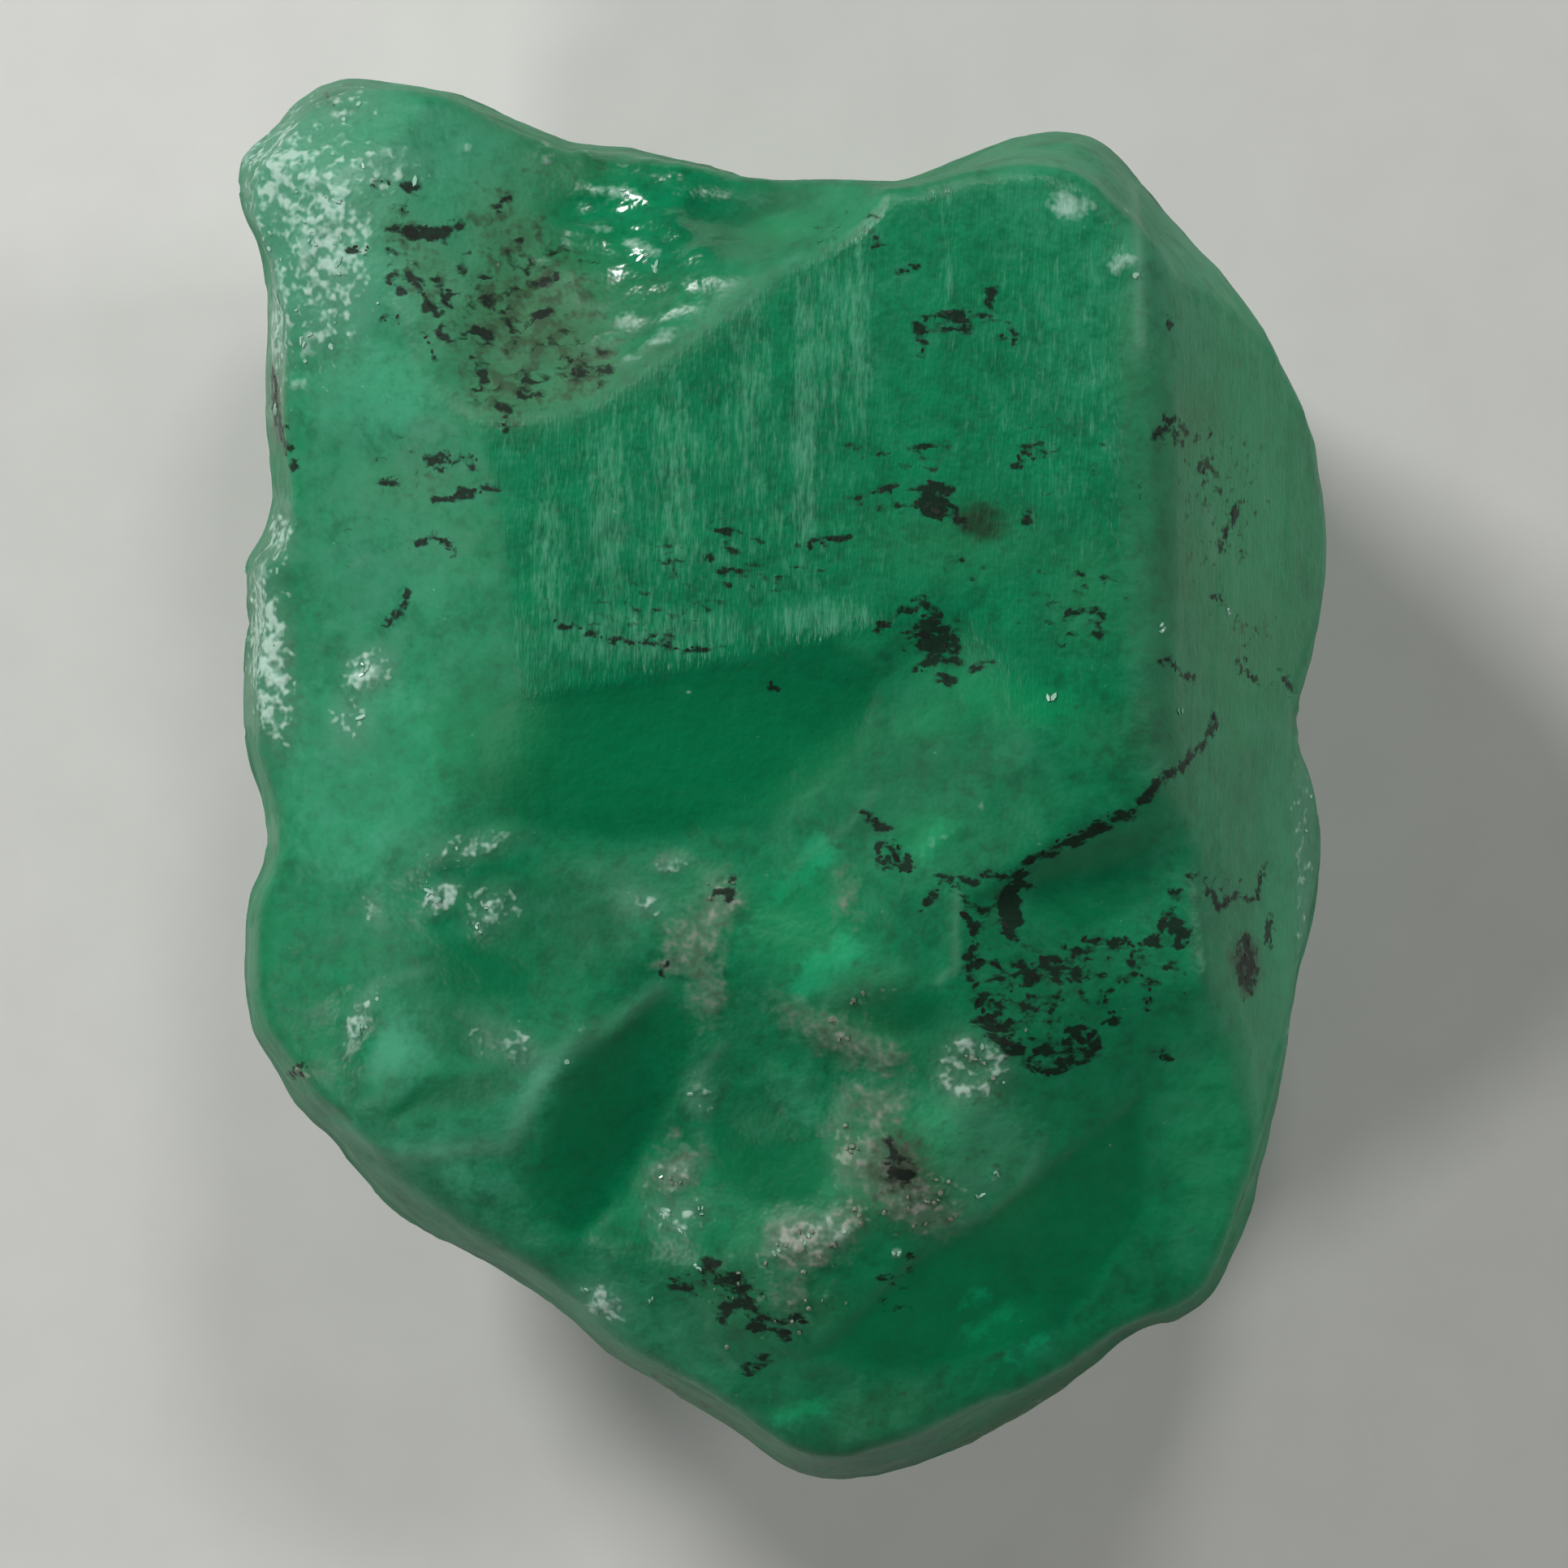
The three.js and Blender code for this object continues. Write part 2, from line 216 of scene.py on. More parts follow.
# Painted glints: pale bars painted where the glassy ripples beside the horn turn their sides up to the lamps,
# over a thin frosty veil
VEILS_AND_GLINTS = [
    (-2.0, 7.1, 0.45, 0.13, -5, 0.9),
    (-1.85, 7.45, 0.3, 0.09, 0, 0.8),
    (-2.25, 6.68, 0.35, 0.12, 10, 0.8),
    (-1.7, 6.45, 0.36, 0.12, -12, 1.0),
    (-2.9, 6.3, 0.2, 0.12, 20, 0.8),
    (-1.2, 6.0, 0.55, 0.06, 3, 0.7),
    (-1.9, 5.6, 0.18, 0.09, 15, 0.9),
    (-1.4, 5.4, 0.3, 0.08, 15, 0.7),
    (-1.5, 5.25, 0.35, 0.09, 20, 0.9),
    (-1.8, 5.08, 0.2, 0.07, 10, 0.7),
    (-2.2, 5.3, 0.3, 0.1, 20, 0.7),
    (-2.9, 7.6, 0.2, 0.2, 0, 0.7),
    (-2.4, 7.6, 0.14, 0.18, 0, 0.7),
    (-6.45, 7.6, 0.14, 0.2, -20, 0.9),
    (-5.4, 8.1, 0.1, 0.15, 0, 0.9),
    (-5.3, 7.8, 0.16, 0.1, 30, 0.8),
    (-4.95, 7.5, 0.32, 0.1, 20, 0.8),
    (-4.55, 7.6, 0.09, 0.07, 0, 0.9),
    (-3.8, 7.65, 0.08, 0.08, 0, 0.9),
    (-5.7, 7.3, 0.14, 0.12, 0, 0.9),
    (-5.35, 7.0, 0.11, 0.26, 0, 1.0),
    (-5.75, 6.5, 0.14, 0.26, 10, 0.9),
    (-5.5, 6.75, 0.12, 0.1, 0, 0.8),
    (-5.35, 6.2, 0.17, 0.09, 30, 1.0),
    (-6.05, 6.0, 0.12, 0.2, 0, 0.9),
    (-5.85, 5.7, 0.16, 0.12, 0, 0.8),
    (-5.7, 5.3, 0.11, 0.26, -20, 1.0),
    (-6.15, 5.4, 0.1, 0.25, 0, 0.8),
    (-5.8, 4.8, 0.2, 0.09, 10, 1.0),
    (-5.2, 5.4, 0.12, 0.08, 0, 0.8),
    (-6.22, 4.5, 0.11, 0.2, 0, 1.0),
    (-6.3, 2.6, 0.1, 0.3, 0, 0.9),
    (-6.2, 1.4, 0.2, 0.4, 15, 0.9),
    (-5.9, 1.1, 0.2, 0.12, 30, 0.8),
    (-5.0, 1.35, 0.26, 0.14, 15, 1.0),
    (-4.15, -1.3, 0.2, 0.1, 40, 1.0),
    (-3.5, -1.55, 0.1, 0.3, -40, 0.8),
    (-3.4, -0.65, 0.25, 0.08, 30, 0.7),
    (-5.1, -2.95, 0.06, 0.35, -32, 1.0),
    (-3.3, -3.1, 0.25, 0.07, -30, 0.6),
    (-2.4, -2.95, 0.2, 0.08, 35, 0.7),
    (-1.35, -0.97, 0.16, 0.09, 15, 0.8),
    (-0.95, -3.8, 0.07, 0.2, 10, 0.7),
    (-1.2, -4.7, 0.2, 0.1, 30, 0.7),
    (-2.2, -6.3, 0.2, 0.12, 0, 0.8),
    (0.0, -5.6, 0.2, 0.12, 30, 0.8),
    (0.7, -5.4, 0.2, 0.1, 30, 0.8),
    (2.5, -4.75, 0.06, 0.16, -40, 0.8),
    (1.35, -5.65, 0.08, 0.12, 0, 0.8),
    (3.4, 6.9, 0.3, 0.2, 0, 1.3),
    (3.98, 6.2, 0.24, 0.14, 20, 1.25),
    (3.7, 4.68, 0.22, 0.12, 10, 0.4),
    (1.75, -0.75, 0.12, 0.3, -35, 0.7),
    (2.1, -0.55, 0.3, 0.07, 15, 0.6),
    (2.38, -0.25, 0.08, 0.2, -20, 0.6),
    (-5.3, -4.2, 0.25, 0.14, -20, 0.5),
]
# Milky cloud in the stone, and painted sheen on faces turned towards the lamps
MILKY_AND_SHEEN = [
    (-4.7, 3.3, 1.3, 2.6, 0, 0.7),  # the left shoulder, milky and with painted sheen where it faces the lamps
    (-5.5, -0.6, 0.9, 2.0, 10, 0.3),
    (-5.3, 6.9, 1.7, 2.0, 0, 1.0),
    (-5.6, 7.3, 1.2, 1.3, 0, 1.0),
    (-3.9, 7.5, 1.0, 0.9, -30, 0.9),
    (-4.6, -3.2, 0.45, 0.6, 0, 0.8),
    (-4.7, -1.2, 0.8, 1.6, 0, 0.35),
    (-3.5, -4.9, 0.5, 0.3, -20, 0.7),
    (-3.7, -5.4, 0.4, 0.2, -20, 0.6),
    (-3.0, -3.6, 0.3, 0.6, -35, 0.5),
    (-3.9, -4.9, 1.5, 0.6, -32, 0.5),
    (-1.7, -6.7, 1.6, 0.6, -35, 0.55),
    (5.9, 3.6, 0.8, 3.2, 0, 0.35),  # the right growth face, milky and with painted sheen where it faces the lamps
    (4.9, 6.0, 1.2, 1.4, -40, 0.55),
    (3.4, 7.0, 1.6, 0.9, 0, 0.5),
    (3.7, 5.4, 0.9, 1.3, 0, 0.4),
    (1.2, 5.9, 1.3, 1.3, 30, 0.3),
    (6.2, -1.6, 0.45, 2.6, 0, 0.75),
    (5.3, -4.4, 0.9, 1.8, 0, 0.6),
    (4.6, -1.0, 1.6, 0.7, 10, 0.35),
    (2.4, -4.5, 0.8, 0.9, 0, 0.45),
    (1.4, -7.6, 0.9, 0.5, 20, 0.3),
]
STAINED = [
    (-3.3, 6.6, 0.55, 0.8, 20, 0.8),  # the valley beside the horn
    (-3.0, 5.6, 1.2, 1.0, 0, 1.0),
    (-4.2, 6.1, 0.4, 1.2, 35, 0.75),
    (-3.3, 4.7, 0.7, 0.5, 0, 0.9),
    (-2.4, 4.95, 0.6, 0.35, 25, 0.95),
    (-2.7, 7.5, 0.7, 0.4, 0, 0.6),
    (-3.4, 8.05, 0.9, 0.25, -30, 0.6),
    (-1.6, 5.9, 0.5, 0.3, 0, 0.4),
    (-3.3, 4.62, 0.7, 0.28, 10, 0.9),
    (-2.45, 4.72, 0.7, 0.24, 18, 0.85),
    (-1.6, 5.1, 0.5, 0.18, 30, 0.5),
    (-6.15, 4.6, 0.16, 0.8, 5, 0.9),  # crack along the left edge
    (-4.4, 3.6, 0.9, 0.4, 0, 0.45),
    (-3.9, 2.9, 0.5, 0.5, 0, 0.35),
    (5.7, 1.8, 0.75, 0.6, 0, 0.5),
    (5.3, 3.4, 0.8, 1.6, 0, 0.15),
    (5.0, 2.6, 0.6, 0.5, 20, 0.4),
    (4.9, 4.3, 0.5, 0.5, 20, 0.5),
    (6.35, 3.6, 0.25, 1.6, 0, 0.2),
    (4.15, 5.3, 0.22, 1.0, 0, 0.45),
    (3.6, 2.3, 0.5, 0.7, 0, 0.3),
    (2.6, 7.5, 1.2, 0.3, 15, 0.3),
    (1.3, -7.6, 0.7, 0.35, 20, 0.4),
    (-1.3, -7.45, 1.3, 0.22, -32, 0.8),
    (3.9, 0.6, 0.6, 0.4, -10, 0.25),
    (1.0, -3.1, 0.6, 0.3, -10, 0.45),
    (2.0, 2.9, 1.2, 0.5, 0, 0.25),
    (2.4, -4.5, 0.75, 0.9, 0, 0.4),  # an olive patch on the lower right
    (1.35, -4.6, 0.6, 0.7, 0, 0.7),
]
CRUSTED = [
    (-0.75, -1.3, 0.25, 0.35, 20, 0.6),
    (1.0, -2.5, 0.6, 0.2, 20, 0.4),
    (0.65, -3.0, 0.5, 0.2, -20, 0.5),
    (0.75, -4.4, 0.2, 0.5, 0, 0.8),
    (0.85, -5.2, 0.25, 0.3, 20, 0.8),
    (0.2, -5.5, 0.5, 0.3, 20, 0.8),
    (1.7, -5.0, 0.5, 0.5, 20, 0.6),
    (1.75, -5.1, 0.4, 0.35, 20, 0.5),
    (-1.4, -4.8, 0.35, 0.2, 10, 0.6),
    (2.27, -3.42, 0.45, 0.45, 0, 0.5),
    (-0.3, -6.1, 0.8, 0.7, 0, 0.4),
    (0.3, -6.3, 0.5, 0.4, 0, 0.35),
    (-5.8, -3.48, 0.25, 0.1, 0, 0.9),
    (-5.5, 8.3, 0.4, 0.25, 20, 0.5),
]
WORN = [
    (4.35, 3.0, 0.7, 3.6, 0, 1.0),  # the edge between the front face and the one right of it
    (-3.8, 0.3, 0.7, 1.1, -30, 1.0),
    (-0.5, 1.3, 2.2, 0.7, 8, 0.25),
    (-4.6, -1.0, 1.6, 2.2, 20, 1.0),
    (-3.4, -4.2, 1.6, 1.4, 20, 0.9),
    (0.0, -4.4, 3.0, 2.2, 20, 1.0),
    (3.6, 0.4, 1.4, 0.9, 0, 1.0),
    (4.2, -3.2, 1.6, 1.1, 0, 0.8),
    (5.6, -1.0, 0.7, 3.0, 0, 0.6),
    (-4.4, 6.3, 0.6, 1.3, 20, 0.8),
]
WET = [
    (-1.7, 6.6, 1.2, 1.1, 20, 1.0),
    (-3.8, -1.3, 0.8, 0.6, 0, 0.7),
    (-1.5, -5.4, 0.9, 0.7, 0, 0.15),
    (-5.9, 6.0, 0.5, 1.4, 0, 0.5),
    (-5.1, -2.8, 0.4, 0.7, 0, 0.6),
]
# Breaks rubbed dull
DULLED = [
    (-3.8, 0.4, 0.9, 1.4, -30, 1.0),
    (-4.8, -2.4, 0.7, 0.9, 0, 0.5),
    (-4.0, -3.8, 0.9, 0.5, 0, 0.9),
    (-1.9, -1.4, 1.0, 0.7, 0, 0.5),
    (1.6, -0.2, 1.3, 1.0, 0, 0.8),
    (-2.4, -3.2, 1.0, 0.5, 35, 0.6),
    (0.6, -2.4, 0.8, 0.5, 0, 0.6),
    (4.35, 3.0, 0.3, 3.6, 0, 0.8),
    (-2.9, 5.4, 0.9, 1.1, 20, 0.7),
]
DULL_SEAM = (
    0.2, 1.0, [(-4.2, 5.0), (-3.6, 4.6), (-2.65, 4.42), (-1.65, 4.95), (-0.65, 5.65), (0.2, 6.3), (0.9, 7.0)]
)
LINED_AND_SHEEN = [
    (-1.2, 3.3, 2.6, 2.4, 0, 0.55),  # the broad hazy field of growth lines, painted pale, partly as painted sheen
    (0.25, 4.3, 0.2, 2.6, 0, 1.0),  # its brighter columns of painted sheen
    (0.9, 5.4, 0.16, 1.6, 0, 0.95),
    (0.55, 5.2, 0.3, 1.6, 0, 0.75),
    (-0.4, 4.6, 0.35, 1.6, 0, 0.8),
    (-1.3, 3.6, 0.35, 1.7, 0, 0.9),
    (-2.1, 3.3, 0.35, 1.6, 0, 0.9),
    (-2.8, 2.7, 0.3, 1.3, 0, 0.85),
    (-1.7, 1.8, 1.7, 0.45, 0, 0.85),
    (0.5, 1.95, 0.8, 0.35, 0, 0.95),
    (-3.3, 1.7, 0.5, 0.6, 0, 0.7),
    (1.95, 6.1, 0.12, 1.2, 0, 0.7),
    (4.26, 6.1, 0.08, 1.1, 0, 1.0),
    (3.4, 4.8, 1.4, 2.4, 0, 0.45),
]
SHADED = [
    (-1.2, 0.6, 2.4, 0.7, 8, 0.35),  # the trough under the front face
    (1.2, 0.3, 1.6, 0.8, 10, 0.4),
    (-0.3, -4.4, 0.6, 0.7, 0, 0.6),
    (-0.5, 6.7, 1.0, 0.5, 10, 0.7),
    (3.4, -5.2, 1.1, 1.1, 30, 0.15),
    (1.0, -8.3, 1.8, 0.5, 0, 1.0),
    (-1.3, -7.5, 1.8, 0.4, -32, 1.0),
    (-4.2, -5.2, 2.0, 0.35, -35, 0.8),
    (3.6, -7.4, 1.8, 0.3, 28, 0.8),
    (-2.5, -1.6, 1.3, 0.8, 0, 0.7),
    (3.1, -2.4, 1.0, 0.9, 0, 0.6),
    (1.5, -2.75, 0.6, 0.25, 0, 0.7),
    (5.2, 1.2, 0.5, 0.3, 0, 0.3),
    (-4.05, -2.8, 0.9, 0.5, 0, 0.6),
    (-0.15, 6.95, 0.7, 0.35, 10, 0.8),
]
GLOWING = [
    (5.6, 3.2, 0.9, 3.6, 0, 0.45),
    (5.9, -1.5, 0.5, 2.6, 0, 0.3),
    (-1.5, 0.3, 2.6, 0.8, 5, 0.35),
    (0.3, -1.6, 0.7, 0.7, 0, 0.45),
    (2.6, -6.6, 0.6, 0.25, 25, 0.5),
    (1.6, -6.3, 1.3, 0.6, 25, 0.2),
    (3.6, -5.0, 1.2, 0.9, 30, 0.15),
    (-2.05, -2.85, 0.3, 0.1, 45, 0.6),
    (1.7, -0.6, 0.4, 0.3, 20, 0.5),
    (5.2, -4.4, 0.8, 1.6, 0, 0.4),
    (1.9, 0.8, 0.8, 0.22, 15, 0.4),
    (-0.1, 6.65, 0.45, 0.2, 10, 0.4),
    (-3.3, 0.5, 1.0, 0.6, 0, 0.4),
    (0.2, -7.6, 0.3, 0.1, 10, 0.6),
    (2.7, 1.0, 0.8, 0.3, -10, 0.5),
]
# Dark smudges in the stone, and painted shade on its lower tip
SMUDGES_AND_SHADE = [
    (2.35, 3.1, 0.4, 0.26, -10, 1.3),  # dark cloud beside the largest flakes
    (1.8, 3.4, 0.3, 0.25, -20, 0.5),
    (5.6, -2.2, 0.26, 0.42, 0, 1.3),
    (5.1, -1.4, 0.5, 0.4, 20, 0.5),
    (3.2, -2.7, 0.9, 0.6, 0, 0.35),
    (2.6, -1.5, 0.35, 0.4, 0, 0.55),
    (1.4, -4.6, 0.42, 0.5, -30, 1.15),
    (-0.87, -5.83, 0.14, 0.14, 0, 0.9),
    (1.7, 5.4, 0.25, 0.22, 0, 0.4),
    (1.75, 1.75, 0.4, 0.35, -20, 0.35),
    (0.9, -8.5, 1.6, 0.4, 0, 0.6),  # painted shade on the lower tip and its rims, which face down, away from the lamps
    (-1.5, -7.6, 1.4, 0.3, -32, 0.6),
    (3.4, -7.7, 1.6, 0.2, 28, 0.5),
    (4.8, -5.55, 0.5, 0.07, 30, 0.5),
    (2.5, -7.0, 0.5, 0.06, 25, 0.6),
    (-3.3, 6.55, 0.2, 0.3, 20, 0.6),
    (-2.75, 6.0, 0.25, 0.2, 10, 0.7),
    (-2.15, 5.15, 0.2, 0.15, 20, 0.8),
    (-2.35, 4.85, 0.25, 0.12, 20, 0.7),
    (-3.3, 4.4, 0.25, 0.12, 10, 0.5),
    (-4.3, 6.65, 0.4, 0.12, 0, 0.7),
    (-1.5, 6.75, 0.15, 0.15, 0, 0.5),
    (-0.7, -1.35, 0.12, 0.2, 0, 0.5),
]

# Clear faces that look into the depth of the stone
DEEP_FACES = [
    [
        (-1.46, -2.42), (-1.1, -2.8), (-1.02, -3.0), (-1.2, -3.6), (-1.64, -4.35), (-1.9, -5.0),
        (-2.4, -5.5), (-3.0, -5.3), (-3.1, -4.9), (-2.85, -4.4), (-2.55, -3.47),
    ],
    [(-4.3, -2.0), (-3.7, -1.85), (-3.0, -2.2), (-3.1, -2.6), (-4.2, -2.5)],
    [(-4.4, -3.65), (-3.4, -3.45), (-3.5, -3.85), (-4.7, -4.0)],
    [(-0.8, -4.1), (-0.2, -4.35), (0.45, -4.2), (0.55, -4.7), (0.3, -5.1), (-0.3, -5.15), (-0.8, -4.8)],
    [(0.55, -2.7), (1.3, -2.4), (1.95, -2.5), (1.75, -3.0), (1.2, -3.05)],
    [
        (-3.75, 0.75), (-3.2, 1.05), (-0.6, 1.45), (0.6, 1.75), (1.2, 1.3), (0.9, 0.4), (-0.2, -0.5),
        (-2.0, -0.7), (-3.3, -0.4), (-3.7, 0.0),
    ],
    [(1.5, -5.8), (3.2, -4.6), (4.3, -3.8), (4.4, -5.2), (3.4, -6.6), (1.6, -7.2), (0.4, -6.9)],
    [(2.95, -0.95), (4.3, -0.55), (4.5, -1.4), (3.6, -1.8), (3.0, -1.6)],
]
# Clear faces that send light back from inside
LIT_FACES = [
    [(-0.54, -1.77), (-0.15, -1.29), (0.46, -0.5), (0.8, -0.8), (0.3, -1.2), (-0.33, -1.64)],
    [(0.02, -2.5), (0.15, -2.0), (0.81, -1.8), (1.07, -2.16), (0.64, -2.25), (0.29, -2.6)],
    [(-2.3, -2.95), (-2.0, -2.65), (-1.65, -2.45), (-1.75, -2.75), (-2.15, -3.05)],
    [(2.2, -6.66), (2.8, -6.28), (2.9, -6.42), (2.3, -6.82)],
    [(2.0, -6.28), (2.5, -6.05), (2.58, -6.2), (2.1, -6.44)],
    [(2.65, -6.93), (3.1, -6.68), (3.18, -6.82), (2.72, -7.08)],
    [(-0.1, -7.62), (0.5, -7.46), (0.52, -7.62), (-0.1, -7.8)],
    [(1.45, -0.75), (1.85, -0.4), (2.0, -0.58), (1.7, -0.95)],
]
# Faces turned milky by fine cracks below them
PALE_FACES = [
    [(-4.92, -2.6), (-4.61, -2.51), (-4.39, -2.86), (-4.44, -3.3), (-4.7, -3.56), (-5.0, -3.39)],
    [
        (-5.5, -4.1), (-5.0, -4.0), (-4.3, -4.1), (-3.4, -3.75), (-2.9, -3.25), (-2.6, -3.4), (-2.95, -4.2),
        (-3.6, -4.5), (-4.6, -4.5),
    ],
    [(-4.15, -4.65), (-3.6, -4.5), (-3.35, -4.8), (-3.8, -5.1)],
    [
        (-6.0, 1.2), (-4.35, 1.1), (-4.1, 0.55), (-4.0, 0.0), (-3.8, -0.35), (-4.6, -0.7), (-5.0, -1.2),
        (-5.9, -1.0),
    ],
    [(-5.12, -1.1), (-4.85, -1.15), (-4.72, -1.65), (-4.95, -1.7)],
    [(-2.03, -1.3), (-1.5, -1.3), (-1.64, -1.9), (-1.9, -2.07)],
    [(-0.2, -3.45), (0.45, -3.4), (0.5, -4.05), (0.0, -4.0)],
    [
        (1.63, -4.06), (2.0, -3.78), (2.75, -3.78), (3.13, -4.25), (3.03, -4.72), (2.47, -5.19),
        (2.19, -5.28), (1.81, -4.63),
    ],
    [(-5.9, 5.1), (-4.9, 5.3), (-4.3, 5.0), (-3.9, 4.3), (-4.9, 4.2), (-6.0, 4.3)],
]
# Crusts of the host rock
ROCK_FACES = [
    [
        (-1.38, -1.72), (-1.03, -1.29), (-0.76, -1.11), (-0.54, -1.46), (-0.76, -2.07), (-0.68, -2.51),
        (-0.85, -2.91), (-1.07, -2.77), (-1.2, -2.34), (-1.55, -2.16),
    ],
    [(0.69, -3.62), (1.53, -3.57), (1.6, -3.78), (1.3, -4.06), (1.16, -4.34), (0.9, -4.11)],
    [
        (1.0, -4.2), (1.63, -4.4), (1.75, -4.8), (2.19, -5.19), (2.0, -5.47), (1.53, -5.37), (1.1, -5.0),
        (0.75, -4.8), (0.65, -4.5),
    ],
    [
        (-0.2, -5.3), (0.1, -5.15), (0.4, -5.35), (0.65, -5.05), (0.9, -5.15), (0.8, -5.6), (0.5, -5.8),
        (0.1, -5.95), (-0.15, -5.7),
    ],
    [
        (-0.3, -2.5), (0.1, -2.6), (0.5, -2.72), (1.1, -3.05), (1.5, -3.2), (1.3, -3.5), (0.7, -3.3),
        (0.2, -3.0),
    ],
    [(0.62, -1.1), (0.88, -1.08), (0.88, -1.62), (0.62, -1.66)],
    [(-1.65, -4.65), (-1.3, -4.25), (-1.0, -4.4), (-1.1, -4.85), (-1.4, -4.95)],
    [(-0.15, -5.9), (0.35, -5.85), (0.25, -6.4), (0.0, -6.5)],
]

# Blots of mica below the skin
INKED = [
    (2.72, -1.5, 0.2, 0.4, 0, 1.2),
    (2.3, -1.55, 0.25, 0.2, 0, 0.7),
    (2.5, -2.8, 0.35, 0.5, 20, 0.75),
    (3.2, -3.15, 0.8, 0.3, 0, 0.62),
    (3.3, -2.25, 0.7, 0.25, 8, 0.75),
    (3.0, -2.5, 0.95, 0.85, 0, 0.62),
    (2.25, -1.95, 0.12, 0.6, 0, 0.9),
    (2.75, -3.1, 0.35, 0.2, -35, 0.8),
    (3.62, -3.15, 0.35, 0.22, -20, 0.75),
    (4.7, -1.75, 0.22, 0.2, 0, 1.0),
    (4.4, -2.2, 0.6, 0.6, 0, 0.55),
    (4.75, -1.8, 0.2, 0.2, 0, 0.9),
    (5.0, -1.2, 0.9, 0.3, 10, 0.45),
    (5.6, -2.2, 0.2, 0.4, 0, 0.85),
    (1.75, 3.35, 0.3, 0.22, -35, 1.1),
    (1.35, 3.3, 0.4, 0.25, 0, 0.55),
    (2.2, 2.5, 0.5, 0.25, -25, 0.5),
    (1.75, 1.75, 0.5, 0.4, -35, 0.85),
    (1.7, 5.4, 0.25, 0.25, 0, 0.75),
    (2.3, 5.6, 0.4, 0.2, 0, 0.5),
    (-4.35, 6.62, 0.45, 0.1, 0, 1.0),
    (-4.5, 6.1, 0.35, 0.8, 30, 0.5),
    (-3.9, 5.3, 0.3, 0.7, 30, 0.5),
    (-3.1, 6.3, 0.5, 0.6, 0, 0.5),
    (-2.8, 5.4, 0.8, 0.6, 0, 0.45),
    (-2.2, 5.0, 0.4, 0.3, 20, 0.62),
    (-3.2, 4.75, 0.9, 0.35, 10, 0.6),
    (-3.6, 5.9, 0.5, 1.1, 30, 0.6),
    (-2.6, 6.2, 0.5, 0.5, 0, 0.5),
    (-4.1, 3.7, 0.7, 0.4, 0, 0.42),
    (-0.6, -6.1, 0.5, 0.4, -30, 0.7),
    (-0.1, -6.5, 0.4, 0.3, 0, 0.6),
    (-1.3, -6.0, 0.5, 0.3, 0, 0.5),
    (1.4, -4.6, 0.25, 0.3, 0, 0.7),
    (-1.5, 1.75, 1.3, 0.1, -8, 0.5),
    (5.8, 1.3, 0.5, 0.2, 0, 0.45),
    (4.7, 4.2, 0.35, 0.3, 0, 0.6),
    (5.2, 2.9, 0.7, 0.8, 20, 0.36),
    (5.6, 1.9, 0.6, 0.4, 0, 0.4),
    (3.6, 2.4, 0.5, 0.7, 0, 0.36),
    (4.2, 3.4, 0.3, 0.4, 0, 0.4),
    (2.0, 4.0, 1.2, 0.4, 0, 0.34),
    (-5.0, 2.9, 0.9, 0.5, 10, 0.36),
    (-4.6, 4.0, 0.9, 0.2, 10, 0.4),
    (0.9, 3.4, 0.5, 0.12, 0, 0.6),
    (-0.6, 2.6, 1.6, 0.6, 0, 0.5),
    (1.5, 4.0, 1.2, 0.4, 0, 0.48),
    (3.2, 3.9, 0.9, 0.7, 0, 0.45),
    (3.5, 2.1, 0.9, 0.7, 0, 0.5),
    (2.0, 5.5, 0.9, 0.35, 0, 0.55),
    (1.0, 6.6, 0.9, 0.5, 0, 0.42),
    (5.3, 3.6, 0.8, 1.2, 0, 0.45),
    (-1.6, 2.1, 1.1, 0.35, 0, 0.5),
    (1.3, -6.1, 0.7, 0.4, 20, 0.42),
    (2.0, 2.7, 0.5, 0.2, -30, 0.5),
    (1.9, -1.2, 0.4, 0.2, 0, 0.55),
]

